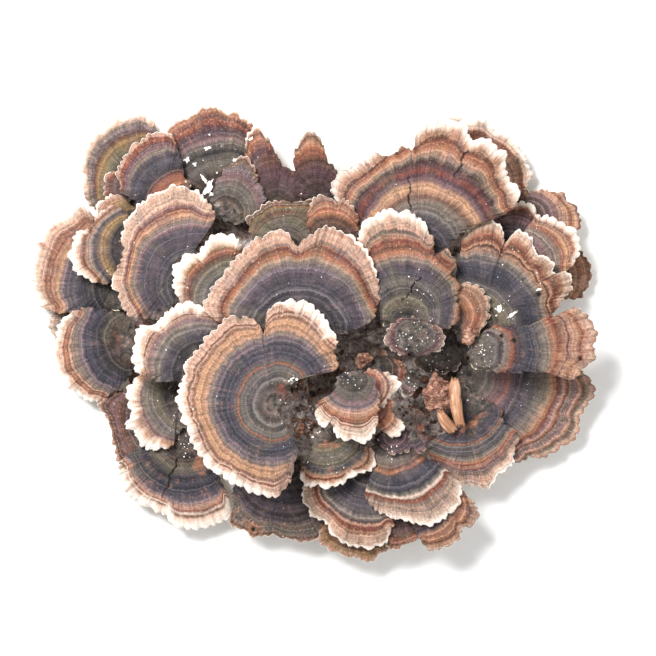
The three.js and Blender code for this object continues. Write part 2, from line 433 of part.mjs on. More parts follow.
/** Lets a settled cap's foot down to its seat, on a lower cap or on the mat. */
function seatCap(cap, mat) {
  const seat = Math.max(cap.below, highestIn(mat, cap.umbo, cap.footRadius)) + SEAT_GAP;
  for (const p of cap.points.slice(cap.seatStart)) p.z = Math.min(seat, cap.rootHeight - LEAST_FOOT);
  return meshOf(cap.name, cap.points, cap.triangles, TONES[cap.tone], 0.8);
}

// ---- the mat of tissue ----

const bump = (x, y, { at, height, width }) =>
  height * Math.exp(-((x - at[0]) ** 2 + (y - at[1]) ** 2) / (2 * width * width));

/** Height of the mound and its lumps, before the tissue climbs to the caps. */
function moundHeight(x, y, ring) {
  const lumps = LUMPS.reduce((sum, lump) => sum + bump(x, y, lump), 0);
  const rounding = Math.sqrt(Math.max(0, 1 - ring ** 6));
  return MAT_EDGE * (0.75 + 0.25 * rounding) + (bump(x, y, MOUND) + lumps) * rounding;
}

/** The mat's points, heights given by heightAt(x, y, ring), and its triangles. */
function matSurface(heightAt) {
  const rim = marginPoints(MAT_RIM, MAT_CENTRE, MAT_STEP);
  const at = (p, ring) => [
    MAT_CENTRE[0] + ring * (p.at.x - MAT_CENTRE[0]),
    MAT_CENTRE[1] + ring * (p.at.y - MAT_CENTRE[1]),
  ];
  const points = [new THREE.Vector3(...MAT_CENTRE, heightAt(...MAT_CENTRE, 0))];
  for (const ring of MAT_RINGS) {
    for (const p of rim) points.push(new THREE.Vector3(...at(p, ring), heightAt(...at(p, ring), ring)));
  }
  const topCount = points.length;
  for (const p of rim) points.push(new THREE.Vector3(...at(p, 0.98), 0));
  points.push(new THREE.Vector3(...MAT_CENTRE, 0));
  const triangles = ringTriangles(rim.length, MAT_RINGS.length + 1);
  return { points, triangles, top: triangles.filter((t) => t.every((i) => i < topCount)) };
}

/** The mat, which climbs to the root of each cap that no other cap carries. */
function makeMat(caps, ceiling) {
  const rises = caps.map(({ umbo, rootHeight, reach }) => ({
    at: umbo,
    height: rootHeight,
    width: Math.max(6, reach * RISE_WIDTH) / 2,
  }));
  const { points, triangles, top } = matSurface((x, y, ring) => {
    const climbs = rises.map((rise) => bump(x, y, rise) * Math.sqrt(Math.max(0, 1 - ring ** 6)));
    return Math.max(moundHeight(x, y, ring), ...climbs);
  });
  pressUnder(ceiling, points, top, MAT_AIR, 1);
  const relief = new Map();
  layDown(relief, points, top);
  return { mesh: meshOf("base_tissue", points, triangles, 0x2e2823, 0.9), relief };
}

// ---- loose wood ----

/** A rough crumb (a knocked-about ball) or a split stick (a flattened rod), a millimetre across each way. */
function woodShape(shape) {
  if (shape === "crumb") {
    const ball = new THREE.IcosahedronGeometry(0.5, 1);
    const place = ball.attributes.position;
    const spot = new THREE.Vector3();
    for (let i = 0; i < place.count; i++) {
      spot.fromBufferAttribute(place, i);
      const knock = Math.sin(spot.x * 17 + 1) * Math.sin(spot.y * 13 + 2) * Math.sin(spot.z * 11 + 3);
      spot.multiplyScalar(1 + 0.3 * knock);
      place.setXYZ(i, spot.x, spot.y, spot.z);
    }
    return ball;
  }
  return new THREE.CylinderGeometry(0.42, 0.5, 1, 7, 2).rotateZ(Math.PI / 2);
}

function makeWood({ name, shape, at, size, turn, tilt, tone }, relief) {
  const raw = woodShape(shape);
  raw.deleteAttribute("normal");
  raw.deleteAttribute("uv");
  const geometry = mergeVertices(raw, 1e-4)
    .scale(...size)
    .rotateY(THREE.MathUtils.degToRad(tilt))
    .rotateZ(THREE.MathUtils.degToRad(turn))
    .translate(...at, 0);
  const place = geometry.attributes.position;
  const points = Array.from({ length: place.count }, (_, i) => new THREE.Vector3().fromBufferAttribute(place, i));
  const corners = Array.from(geometry.index.array);
  const triangles = [];
  for (let i = 0; i < corners.length; i += 3) triangles.push(corners.slice(i, i + 3));
  const lift = liftOver(relief, points, triangles, SEAT_GAP);
  for (const p of points) p.z += lift;
  layDown(relief, points, triangles);
  return meshOf(name, points, triangles, tone, 0.9);
}

// ---- assembly ----
const group = new THREE.Group();
group.name = "turkey_tail";

// The caps settle over a plain mound; the tissue then climbs to them, and their feet come down to it.
const relief = Object.assign(new Map(), { caps: new Map(), ceiling: new Map() });
const mound = matSurface(moundHeight);
layDown(relief, mound.points, mound.top);
const caps = CAPS.map((cap, index) => settleCap(cap, index, relief));
const mat = makeMat(caps, relief.ceiling);
group.add(mat.mesh);
for (const cap of caps) {
  group.add(seatCap(cap, mat.relief));
  layDown(mat.relief, cap.points, cap.triangles);
}
WOOD.forEach((bit) => group.add(makeWood(bit, mat.relief)));

const bounds = new THREE.Box3().setFromObject(group);
const footprint = bounds.getCenter(new THREE.Vector3());
group.position.set(-footprint.x, -footprint.y, -bounds.min.z);

export default group;
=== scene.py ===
"""Looks of a cluster of turkey tail fungus: fine zoned caps, dark tissue, rotten wood, splinters and crumbs."""
import math

import bmesh
import bpy
import numpy as np
from mathutils import Matrix, Vector, noise
from mathutils.bvhtree import BVHTree


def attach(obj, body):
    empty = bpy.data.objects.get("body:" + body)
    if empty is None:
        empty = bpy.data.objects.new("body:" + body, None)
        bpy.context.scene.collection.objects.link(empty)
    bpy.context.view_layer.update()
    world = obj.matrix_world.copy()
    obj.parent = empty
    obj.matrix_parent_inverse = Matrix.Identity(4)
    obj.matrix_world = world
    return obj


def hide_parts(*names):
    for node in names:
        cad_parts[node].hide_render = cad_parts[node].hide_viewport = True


MM = 0.001
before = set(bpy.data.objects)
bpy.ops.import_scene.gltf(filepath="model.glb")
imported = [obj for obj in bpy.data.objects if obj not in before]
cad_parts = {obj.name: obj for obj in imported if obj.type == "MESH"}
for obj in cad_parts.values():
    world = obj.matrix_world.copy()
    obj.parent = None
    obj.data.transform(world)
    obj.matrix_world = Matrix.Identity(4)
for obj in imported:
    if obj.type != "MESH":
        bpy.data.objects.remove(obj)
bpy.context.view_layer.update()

# ---- colours of the flesh, the pores and the wood ----
COLOURS = {
    "white": "#E2D8CF", "cream": "#D3BCAB", "buff": "#BC9C89", "pink_buff": "#B28B78", "tan": "#A37C65",
    "peach": "#AF8669", "orange": "#A16C51", "rust": "#845140", "red": "#6E3D34", "brown": "#5B3E32",
    "line": "#3C2722", "ochre": "#8A6D4A", "olive": "#665E4E", "olive_grey": "#5F5A55", "tan_grey": "#7B6D63",
    "grey": "#5E5753", "mauve": "#72585A", "lilac": "#665A60", "maroon": "#4C353A", "purple": "#443A42",
    "slate": "#423E45", "slate_blue": "#393943", "dark_slate": "#2F2D33", "charcoal": "#282628",
    "umber": "#352B26", "black": "#1B1715",
}


def linear(code):
    """An sRGB hex colour as the linear colour that a shader takes."""
    parts = [int(code[i : i + 2], 16) / 255 for i in (1, 3, 5)]
    return [p / 12.92 if p <= 0.04045 else ((p + 0.055) / 1.055) ** 2.4 for p in parts] + [1.0]


# Bands of each cap from its umbo, 0, to its margin, 100. The dark first stops by the umbo, which lies under the
# caps above, are partly the caps' own dark zones and partly painted shade.
BANDS = {
    "cap_kidney": "0 rust, 5 brown, 9 olive_grey, 12 umber, 16 grey, 19 olive_grey, 22 dark_slate, 25 grey, "
    "28 grey, 32 olive_grey, 35 rust, 37 olive_grey, 40 purple, 44 slate_blue, 54 slate, 60 lilac, "
    "64 tan_grey, 68 tan, 72 peach, 77 peach, 80 tan, 82 brown, 83 tan, 85 buff, 87 red, 89 pink_buff, "
    "92 buff, 95 pink_buff, 100 cream",
    "cap_centre_large": "0 charcoal, 20 dark_slate, 36 slate, 46 purple, 53 lilac, 60 tan_grey, 65 tan, "
    "68 orange, 71 rust, 74 brown, 76 red, 78 rust, 80 olive_grey, 84 pink_buff, 89 buff, 95 pink_buff, "
    "100 cream",
    "cap_upper_left_large": "0 dark_slate, 20 slate, 34 purple, 44 slate, 50 mauve, 56 tan_grey, 61 tan, "
    "64 peach, 67 rust, 69 tan, 71 red, 74 mauve, 77 pink_buff, 84 buff, 94 buff, 100 cream",
    "cap_top_right_large": "0 dark_slate, 12 slate, 20 grey, 27 tan_grey, 33 brown, 36 tan, 42 peach, "
    "46 mauve, 50 maroon, 54 red, 58 maroon, 62 line, 65 tan_grey, 71 tan, 76 orange, 80 rust, 83 brown, "
    "86 tan, 91 pink_buff, 95 cream, 100 white",
    "cap_top_right_behind": "0 mauve, 30 mauve, 48 pink_buff, 60 tan, 68 rust, 74 brown, 78 rust, 84 buff, "
    "92 cream, 100 white",
    "cap_right_slate": "0 umber, 14 olive, 24 grey, 32 dark_slate, 44 slate_blue, 50 slate, 56 olive_grey, "
    "61 tan_grey, 66 tan, 70 line, 72 tan, 76 rust, 80 brown, 83 rust, 87 tan, 92 buff, 100 cream",
    "cap_right_inner_orange": "0 brown, 30 orange, 55 rust, 75 tan, 100 buff",
    "cap_centre_right": "0 charcoal, 14 olive, 22 dark_slate, 30 grey, 38 slate, 45 purple, 52 tan_grey, "
    "59 orange, 63 brown, 67 rust, 70 red, 74 tan, 78 olive_grey, 82 pink_buff, 88 buff, 95 buff, 100 cream",
    "cap_right_straight": "0 grey, 10 olive_grey, 16 purple, 20 tan_grey, 25 rust, 28 maroon, 34 slate, "
    "43 slate_blue, 50 grey, 56 tan_grey, 61 orange, 64 red, 67 rust, 71 pink_buff, 75 red, 78 pink_buff, "
    "83 tan, 87 rust, 91 pink_buff, 97 buff, 100 tan",
    "cap_right_lower_large": "0 umber, 12 grey, 20 mauve, 26 mauve, 28 rust, 30 mauve, 37 purple, 45 slate, "
    "53 grey, 58 tan_grey, 63 tan, 66 orange, 68 red, 71 mauve, 74 pink_buff, 77 red, 80 tan_grey, 84 mauve, "
    "87 pink_buff, 90 brown, 92 tan_grey, 96 buff, 100 pink_buff",
    "cap_lower_right_tan": "0 dark_slate, 18 slate, 26 slate, 29 orange, 31 grey, 41 slate, 47 olive_grey, "
    "53 tan_grey, 57 orange, 60 red, 64 pink_buff, 67 rust, 71 mauve, 77 tan_grey, 83 buff, 89 pink_buff, "
    "95 cream, 100 cream",
    "cap_lower_large": "0 umber, 14 grey, 22 tan_grey, 28 brown, 32 orange, 36 slate, 46 slate_blue, 53 slate, "
    "57 olive_grey, 61 cream, 65 red, 69 rust, 72 tan_grey, 77 buff, 82 tan_grey, 86 buff, 93 cream, 100 white",
    "cap_lower_olive": "0 umber, 20 olive, 36 olive_grey, 48 olive, 54 dark_slate, 62 slate, 68 olive_grey, "
    "73 tan, 77 orange, 80 line, 83 rust, 86 tan, 91 buff, 100 cream",
    "cap_bottom_cream": "0 charcoal, 24 dark_slate, 40 slate, 50 grey, 57 tan_grey, 61 purple, 64 tan, 69 red, "
    "73 rust, 77 tan, 81 pink_buff, 90 buff, 96 cream, 100 white",
    "cap_bottom_right": "0 umber, 30 maroon, 48 purple, 58 tan, 64 rust, 70 tan, 76 orange, 82 brown, 88 tan, "
    "100 buff",
    "cap_bottom_ochre": "0 umber, 40 olive, 60 ochre, 74 brown, 84 ochre, 92 tan, 100 buff",
    "cap_bottom_dark": "0 umber, 40 maroon, 60 brown, 74 rust, 86 brown, 100 tan",
    "cap_bottom_slate": "0 charcoal, 20 dark_slate, 36 slate, 50 lilac, 60 slate, 68 lilac, 76 tan_grey, "
    "84 olive_grey, 92 tan_grey, 96 brown, 100 tan",
    "cap_bottom_left_twin": "0 charcoal, 18 umber, 30 olive, 38 dark_slate, 60 slate_blue, 67 lilac, "
    "74 pink_buff, 78 red, 81 cream, 84 brown, 87 pink_buff, 91 cream, 100 white",
    "cap_scalloped": "0 umber, 16 charcoal, 32 olive, 46 grey, 56 tan_grey, 64 mauve, 70 pink_buff, 76 tan, "
    "84 peach, 90 buff, 100 white",
    "cap_white_wing": "0 charcoal, 20 dark_slate, 32 slate, 42 grey, 52 tan_grey, 62 mauve, 71 pink_buff, "
    "75 line, 77 pink_buff, 84 tan, 87 rust, 90 cream, 100 white",
    "cap_left_lower": "0 umber, 16 umber, 26 charcoal, 36 dark_slate, 48 slate_blue, 54 purple, 59 lilac, "
    "65 tan_grey, 71 tan_grey, 75 tan, 77 red, 79 tan, 82 orange, 84 red, 86 buff, 94 buff, 100 cream",
    "cap_left_brown_strip": "0 umber, 40 purple, 60 brown, 76 mauve, 82 brown, 90 maroon, 95 tan, 100 buff",
    "cap_far_left": "0 charcoal, 28 dark_slate, 44 slate, 54 lilac, 62 peach, 67 tan, 71 red, 74 tan, 77 rust, "
    "80 pink_buff, 88 buff, 94 pink_buff, 100 white",
    "cap_far_left_under": "0 grey, 60 tan_grey, 100 cream",
    "cap_left_white_edged": "0 umber, 20 charcoal, 38 ochre, 50 slate, 60 tan_grey, 68 tan, 73 brown, 76 tan, "
    "80 rust, 83 buff, 88 cream, 100 white",
    "cap_left_frilly": "0 umber, 24 olive_grey, 40 olive, 54 brown, 64 rust, 72 ochre, 80 buff, 90 cream, "
    "100 white",
    "cap_left_crenate": "0 umber, 50 ochre, 76 tan, 90 buff, 100 cream",
    "cap_top_left_outer": "0 charcoal, 26 umber, 44 olive, 58 ochre, 66 brown, 74 lilac, 82 tan_grey, 90 buff, "
    "100 cream",
    "cap_top_left_inner": "0 orange, 12 rust, 28 dark_slate, 44 slate, 58 slate, 66 tan_grey, 72 mauve, "
    "80 maroon, 86 rust, 91 red, 95 pink_buff, 100 buff",
    "cap_top_left_sliver": "0 umber, 60 brown, 84 rust, 100 buff",
    "cap_top_weathered": "0 umber, 24 umber, 36 grey, 48 charcoal, 57 grey, 64 mauve, 70 purple, 75 maroon, "
    "80 red, 84 rust, 87 maroon, 90 rust, 93 tan, 96 rust, 100 cream",
    "cap_top_maroon": "0 umber, 36 maroon, 56 brown, 68 maroon, 78 rust, 85 orange, 91 brown, 95 tan, "
    "100 cream",
    "cap_top_grey": "0 umber, 30 grey, 55 mauve, 72 lilac, 82 tan_grey, 92 brown, 100 buff",
    "cap_top_tongue": "0 umber, 36 maroon, 54 brown, 66 rust, 76 orange, 84 tan, 91 brown, 95 buff, 100 cream",
    "cap_centre_olive": "0 umber, 40 olive, 58 brown, 68 olive, 76 ochre, 82 brown, 88 tan_grey, 94 brown, "
    "100 tan",
    "cap_centre_twin_lobed": "0 umber, 36 brown, 52 orange, 60 rust, 70 tan, 78 orange, 84 brown, 91 tan, "
    "100 buff",
    "cap_right_peach": "0 umber, 40 mauve, 58 pink_buff, 70 peach, 78 rust, 84 peach, 92 pink_buff, 97 brown, "
    "100 tan",
    "cap_far_right_small": "0 umber, 40 brown, 60 peach, 72 rust, 82 peach, 92 brown, 100 tan",
    "cap_right_mauve": "0 umber, 36 purple, 52 mauve, 64 maroon, 74 brown, 82 rust, 90 buff, 100 cream",
    "cap_right_white_edged": "0 mauve, 30 mauve, 50 tan_grey, 62 rust, 70 peach, 78 tan, 84 rust, 89 buff, "
    "94 cream, 100 white",
    "cap_right_dark_sliver": "0 umber, 60 brown, 100 tan",
    "knob_ringed": "0 charcoal, 30 olive_grey, 50 charcoal, 64 grey, 74 maroon, 84 mauve, 93 tan_grey, "
    "100 buff",
    "knob_grey": "0 umber, 50 olive_grey, 80 charcoal, 100 grey",
    "frill_centre": "0 charcoal, 16 grey, 26 mauve, 36 lilac, 44 pink_buff, 50 tan, 55 orange, 60 rust, "
    "63 brown, 66 buff, 68 rust, 71 buff, 80 cream, 90 buff, 95 cream, 100 white",
    "frill_upper": "0 mauve, 30 rust, 48 pink_buff, 58 brown, 66 buff, 78 cream, 100 white",
    "frill_lower": "0 brown, 30 rust, 44 orange, 54 tan, 60 rust, 68 buff, 80 cream, 100 white",
    "tongue_plum": "0 umber, 40 maroon, 70 purple, 88 mauve, 100 tan",
    "tongue_purple": "0 umber, 40 purple, 75 mauve, 100 pink_buff",
    "tongue_red": "0 umber, 40 red, 75 rust, 100 tan",
    "tongue_brown": "0 charcoal, 40 umber, 64 brown, 80 rust, 90 orange, 100 tan",
    "tongue_tiny": "0 umber, 60 brown, 100 tan",
    "tongue_pale": "0 umber, 40 grey, 62 mauve, 80 olive_grey, 100 cream",
}

# White growing edges: cap, then width in mm, the way it faces and how far round each way it runs, in degrees.
WHITE_EDGE = {
    "cap_kidney": [(5.4, 42, 40), (3.8, 236, 72)],
    "cap_centre_large": [(1.4, 10, 50)],
    "cap_upper_left_large": [(2.6, 45, 34), (0.9, 150, 60)],
    "cap_top_right_large": [(4.6, 30, 62)],
    "cap_top_right_behind": [(2.2, 80, 70)],
    "cap_right_slate": [(1.1, 70, 50)],
    "cap_centre_right": [(3.4, 95, 48)],
    "cap_lower_right_tan": [(3.2, 205, 34), (3.0, 322, 30)],
    "cap_lower_large": [(2.0, 280, 110)],
    "cap_bottom_cream": [(1.1, 270, 80)],
    "cap_lower_olive": [(2.6, 265, 70)],
    "cap_bottom_left_twin": [(5.0, 262, 76)],
    "cap_scalloped": [(4.8, 215, 110)],
    "cap_white_wing": [(4.4, 150, 90)],
    "cap_left_lower": [(2.4, 185, 70)],
    "cap_far_left": [(3.4, 175, 80)],
    "cap_left_white_edged": [(3.6, 160, 130)],
    "cap_left_frilly": [(4.6, 140, 130)],
    "cap_left_crenate": [(0.9, 130, 70)],
    "cap_top_weathered": [(1.5, 95, 75)],
    "cap_top_left_outer": [(2.4, 130, 65)],
    "cap_top_maroon": [(1.3, 60, 60)],
    "cap_top_tongue": [(1.2, 150, 50)],
    "cap_right_white_edged": [(3.0, 20, 100)],
    "cap_right_mauve": [(2.0, 30, 80)],
    "frill_centre": [(3.6, 270, 200)],
    "frill_upper": [(2.8, 45, 200)],
    "frill_lower": [(2.6, 300, 200)],
    "tongue_pale": [(0.8, 270, 90)],
}
# How far round from its front each cap's margin is open, degrees each way, where it isn't the usual.
USUAL_OPEN_SIDE = 105
OPEN_SIDE = {"cap_kidney": 138, "frill_centre": 180, "knob_ringed": 180}
# How far old, knotted flesh reaches from the heart of a cap, mm, where it is more than its cut side.
USUAL_OLD_FLESH = 4
OLD_FLESH = {
    "cap_centre_right": 9, "cap_right_straight": 11, "cap_right_lower_large": 11, "cap_top_grey": 10,
    "cap_scalloped": 14, "cap_left_lower": 12, "cap_lower_right_tan": 10, "cap_lower_large": 8,
    "knob_ringed": 8, "knob_grey": 12, "cap_right_slate": 12, "cap_bottom_left_twin": 14, "cap_centre_olive": 8,
    "cap_kidney": 5,
}
# Cracks and holes: cap, line from (x, y) to (x, y), half width, all mm.
SCARS = {
    "cap_top_right_large": [(38.7, 62, 38.7, 48, 0.35), (61.7, 73, 56.7, 62, 0.4)],
    "cap_centre_right": [(42.7, 22, 35.7, 12, 0.35)],
    "cap_bottom_left_twin": [(-54.2, -51, -60.2, -66, 0.4)],
    "cap_right_straight": [
        (80.2, -3.1, 80.5, -3.3, 0.9), (75.2, -1.3, 75.4, -1.4, 0.7), (106.7, -10.2, 107, -10.5, 0.7),
    ],
    "cap_right_lower_large": [(75.7, -14.2, 76, -14.5, 0.9)],
    "cap_bottom_slate": [(-23.7, -78.7, -23.9, -79, 0.8)],
    "cap_right_slate": [(90.2, 15.2, 90.4, 15.4, 1.0)],
}
# Stains: cap, colour, line and half width, mm.
STAINS = {
    "cap_kidney": ("red", [(-12.2, -21, -12.2, -27, 2.6)]),
    "cap_lower_right_tan": ("orange", [(58.7, -40, 67.7, -33, 1.2)]),
    "cap_top_grey": ("orange", [(-36.2, 42, -36.2, 50, 1.6)]),
    "cap_left_lower": ("red", [(-79.2, 0, -76.2, -8, 1.3)]),
    "cap_bottom_left_twin": ("orange", [(-46, -50, -44.5, -56, 2.4)]),
    "cap_lower_olive": ("orange", [(3, -45, 10, -44.5, 1.3)]),
    "cap_right_straight": ("peach", [(99, -10, 108, -18, 2.6)]),
    "cap_bottom_slate": ("orange", [(-27, -76, -21, -80, 2.2)]),
}

# What each corner of a cap tells its finish: its zone, from 0 at the umbo to 1 at the margin; how far it is from
# the rim and how wide the white edge is there, mm; and how old, cracked and stained its flesh is, from 0 to 1.
CAP_FIELDS = ("zone", "rim", "frost", "aged", "scar", "stain")

# ---- shading helpers ----


def add(tree, kind, *inputs, out=None, stops=(), **named):
    """Adds a node and gives its first output, or the one named.

    Inputs come by order or by name with a capital, settings by name in small letters, colours as hex codes.
    """
    node = tree.nodes.new("ShaderNode" + kind)
    for key, value in named.items():
        if key[0].islower():
            setattr(node, key, value)
    slots = [slot for slot in node.inputs if slot.enabled]
    filled = list(zip(slots, inputs))
    filled += [(node.inputs[key.replace("_", " ")], value) for key, value in named.items() if key[0].isupper()]
    for slot, value in filled:
        if isinstance(value, bpy.types.NodeSocket):
            tree.links.new(value, slot)
        else:
            slot.default_value = linear(value) if isinstance(value, str) else value
    for i, (position, code) in enumerate(stops):
        bar = node.color_ramp.elements
        mark = bar[i] if i < 2 else bar.new(position)
        mark.position, mark.color = position, linear(code)
    return node.outputs[out] if out else next((slot for slot in node.outputs if slot.enabled), None)


def new_finish(name):
    """An empty material and its tree."""
    finish = bpy.data.materials.new(name)
    finish.use_nodes = True
    finish.node_tree.nodes.clear()
    return finish, finish.node_tree


def cap_velvet(name, reach):
    """Felted hyphae in growth zones: velvety, matt and finely lined, silky where dark, pale at the edge.

    Reach is from umbo to margin, in mm.
    """
    finish, tree = new_finish("zoned_velvet_" + name)
    bands = [band.split() for band in BANDS[name].split(",")]
    zone_stops = [(int(percent) / 100, COLOURS[tone]) for percent, tone in bands]
    seed = float(sum(map(ord, name)) % 97)
    zone, rim, frost, aged, scar, stain = (
        add(tree, "Attribute", attribute_name=field, out="Fac") for field in CAP_FIELDS
    )
    fan = add(tree, "Attribute", attribute_name="fan", out="Vector")
    place = add(tree, "TexCoord", out="Object")

    # Fibres 0.7 mm wide and tufts 3 mm wide run out from the umbo. Drifts 12 mm across, mottles 3 mm across and
    # grit 0.9 mm across lie over them.
    spokes = add(tree, "Mapping", fan, (seed, 0, 0), Scale=(1, 1, 0.12))
    fibres = add(tree, "TexNoise", spokes, Scale=1.4, Detail=2, Roughness=0.6)
    tufts = add(tree, "TexNoise", spokes, Scale=0.34, Detail=2, Roughness=0.5)
    drifts = add(tree, "TexNoise", place, Scale=80, Detail=2, Roughness=0.5)
    mottles = add(tree, "TexNoise", place, Scale=330, Detail=4, Roughness=0.7)
    grit = add(tree, "TexNoise", place, Scale=1150, Detail=2, Roughness=0.7)

    # The bands drift in and out by a millimetre or so, and each tuft and fibre carries them a little further.
    wander = add(tree, "Math", zone, 0.084, operation="SUBTRACT")
    for wave, amount in ((drifts, 0.09), (tufts, 0.04), (fibres, 0.014), (mottles, 0.024)):
        wander = add(tree, "Math", wave, amount, wander, operation="MULTIPLY_ADD")
    # Painted shade: the darkest inner stops of the bands also stand for the shade under the overlapping caps.
    colour = add(tree, "ValToRGB", wander, stops=zone_stops)

    # Age tints the bands unevenly: lilac bloom, olive algae, and rust where the hairs have worn off.
    outer = add(tree, "MapRange", zone, 0.5, 0.9, 0.15, 1)
    bloom = add(tree, "MapRange", drifts, 0.54, 0.68, 0, 0.28)
    colour = add(tree, "Mix", bloom, colour, "#6C6066", data_type="RGBA")
    algae = add(tree, "MapRange", drifts, 0.34, 0.46, 0.34, 0)
    colour = add(tree, "Mix", algae, colour, "#6B6353", data_type="RGBA")
    worn = add(tree, "Math", tufts, mottles, operation="ADD")
    worn = add(tree, "Math", add(tree, "MapRange", worn, 1.04, 1.26, 0, 0.6), outer, operation="MULTIPLY")
    colour = add(tree, "Mix", worn, colour, "#855A48", data_type="RGBA")
    if name in STAINS:
        ragged = add(tree, "Math", mottles, 3.0, stain, operation="MULTIPLY_ADD")
        soaked = add(tree, "MapRange", ragged, 1.7, 2.6, 0, 0.7)
        colour = add(tree, "Mix", soaked, colour, COLOURS[STAINS[name][0]], data_type="RGBA")

    # Growth lines 1.6 mm apart and finer, each cap with its own run of them, then the grain of the felt.
    rings = add(
        tree, "TexNoise", add(tree, "Math", wander, seed, operation="ADD"), noise_dimensions="1D",
        Scale=0.62 * reach, Detail=3, Roughness=0.75,
    )
    calm = add(tree, "MapRange", zone, 0.78, 0.92, 1, 0.4)
    lines = add(tree, "MapRange", rings, 0.34, 0.64, -0.38, 0.24)
    shade = add(tree, "Math", lines, calm, 1, operation="MULTIPLY_ADD")
    grains = ((fibres, 0.74, 1.2), (tufts, 0.86, 1.12), (mottles, 0.8, 1.18), (grit, 0.86, 1.13))
    for wave, least, most in grains:
        grain = add(tree, "MapRange", wave, 0.33, 0.67, least, most)
        shade = add(tree, "Math", shade, grain, operation="MULTIPLY")
    colour = add(tree, "VectorMath", colour, Scale=shade, operation="SCALE")
    silk = add(tree, "MapRange", rings, 0.6, 0.7, 0, 0.18)
    colour = add(tree, "Mix", silk, colour, "#B5A5A0", data_type="RGBA")

    # Hair-thin brown lines where a growth line turns.
    thin = add(tree, "Math", add(tree, "Math", rings, 0.46, operation="SUBTRACT"), operation="ABSOLUTE")
    thin = add(tree, "Math", add(tree, "MapRange", thin, 0.005, 0.028, 0.8, 0), outer, operation="MULTIPLY")
    thin = add(tree, "Math", thin, calm, operation="MULTIPLY")
    colour = add(tree, "Mix", thin, colour, "#54362C", data_type="RGBA")

    # Old flesh by the cut side: dark, knotted and rusty, like the tissue that it grew from.
    tones = [(0.36, "#1F1C1B"), (0.45, "#443F3B"), (0.53, "#645D57"), (0.57, "#5E4439"), (0.66, "#8F8882")]
    knots = add(tree, "ValToRGB", mottles, stops=tones)
    reached = add(tree, "Math", drifts, 1.4, aged, operation="MULTIPLY_ADD")
    colour = add(tree, "Mix", add(tree, "MapRange", reached, 0.85, 1.75, 0, 1), colour, knots, data_type="RGBA")

    # Brown flecks and pale loose hairs, thickest on the outer zones.
    flecks = add(tree, "MapRange", add(tree, "Math", grit, mottles, operation="ADD"), 0.87, 0.75, 0, 0.5)
    flecks = add(tree, "Math", flecks, outer, operation="MULTIPLY")
    colour = add(tree, "Mix", flecks, colour, "#5A3A2E", data_type="RGBA")
    hairs = add(tree, "Math", add(tree, "MapRange", grit, 0.58, 0.7, 0, 0.4), outer, operation="MULTIPLY")
    colour = add(tree, "Mix", hairs, colour, COLOURS["cream"], data_type="RGBA")

    # The margin: a thin darker band along the open edge, partly a brown lip and partly painted shade where the
    # edge turns down. Where it grows, a white edge fades inwards through cream, in tufts.
    lip_and_shade = add(tree, "MapRange", rim, 0.25, 0.8, 0.45, 0)
    colour = add(tree, "Mix", lip_and_shade, colour, "#7E5B48", data_type="RGBA")
    depth = add(tree, "Math", rim, add(tree, "Math", frost, 0.05, operation="ADD"), operation="DIVIDE")
    depth = add(tree, "Math", depth, 1.5, operation="SUBTRACT")
    for wave, amount in ((tufts, 1.5), (mottles, 1.0), (fibres, 0.5)):
        depth = add(tree, "Math", wave, amount, depth, operation="MULTIPLY_ADD")
    cream = add(tree, "MapRange", depth, 0.6, 1.15, 0.9, 0)
    colour = add(tree, "Mix", cream, colour, COLOURS["cream"], data_type="RGBA")
    white = add(tree, "MapRange", depth, 0.2, 0.75, 0.95, 0)
    colour = add(tree, "Mix", white, colour, COLOURS["white"], data_type="RGBA")
    if name in SCARS:
        colour = add(tree, "Mix", scar, colour, COLOURS["black"], data_type="RGBA")

    # Relief of the felt, with the fibres standing out more towards the margin.
    relief = add(tree, "Math", grit, mottles, operation="ADD")
    relief = add(tree, "Math", rings, 1.2, relief, operation="MULTIPLY_ADD")
    nap = add(tree, "MapRange", zone, 0.5, 0.95, 0.4, 1.6)
    relief = add(tree, "Math", fibres, nap, relief, operation="MULTIPLY_ADD")
    skin = add(
        tree, "BsdfPrincipled", colour, Roughness=add(tree, "MapRange", zone, 0.3, 0.8, 0.6, 0.9),
        Specular_IOR_Level=0.22, Sheen_Weight=0.03, Sheen_Roughness=0.45,
        Normal=add(tree, "Bump", Height=relief, Strength=0.7, Distance=0.0006),
    )
    add(tree, "OutputMaterial", skin)
    return finish


def pore_layer():
    """Underside of a polypore: cream flesh with round pores 0.3 mm wide, drawn twice as coarse to show."""
    finish, tree = new_finish("cream_pore_layer")
    place = add(tree, "TexCoord", out="Object")
    pores = add(tree, "TexVoronoi", place, Scale=1600)
    patches = add(tree, "TexNoise", place, Scale=120, Detail=4)
    tones = [(0.3, "#B89C78"), (0.5, "#DCCBAE"), (0.7, "#EDE2CB")]
    ground = add(tree, "ValToRGB", patches, stops=tones)
    depth = add(tree, "MapRange", pores, 0.12, 0.42, 1, 0)
    colour = add(tree, "Mix", depth, ground, "#6E5A42", data_type="RGBA")
    bump = add(tree, "Bump", Height=pores, Strength=0.5, Distance=0.0004)
    add(tree, "OutputMaterial", add(tree, "BsdfPrincipled", colour, Roughness=0.85, Normal=bump))
    return finish


# ---- growing a fine cap over its plain solid ----

GRID = 0.62  # spacing of a fine cap's corners, mm
SPOKES = (64, 420)  # fewest and most corners round a cap
ROWS = (16, 64)  # fewest and most corners from its umbo to its margin
CROWDING = 0.86  # below 1, the rows stand closer towards the margin
UPPER_SHARES = [0, 0.5, 0.84, 1]  # places of a plain cap's umbo, half, outer and margin rings on the way out
UNDER_SHARES = [0, 0.2, 0.45, 0.8, 1]  # places of its base, seat, foot, inner and margin rings underneath
LIP = 0.55  # how far the margin's lower edge lies below its upper one, mm
BIN = 2  # degrees to one bin of directions round the heart of a cap
BINS = 360 // BIN


def copied(node):
    """A merged copy of a plain solid."""
    bm = bmesh.new()
    bm.from_mesh(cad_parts[node].data)
    bmesh.ops.remove_doubles(bm, verts=bm.verts, dist=1e-6)
    return bm


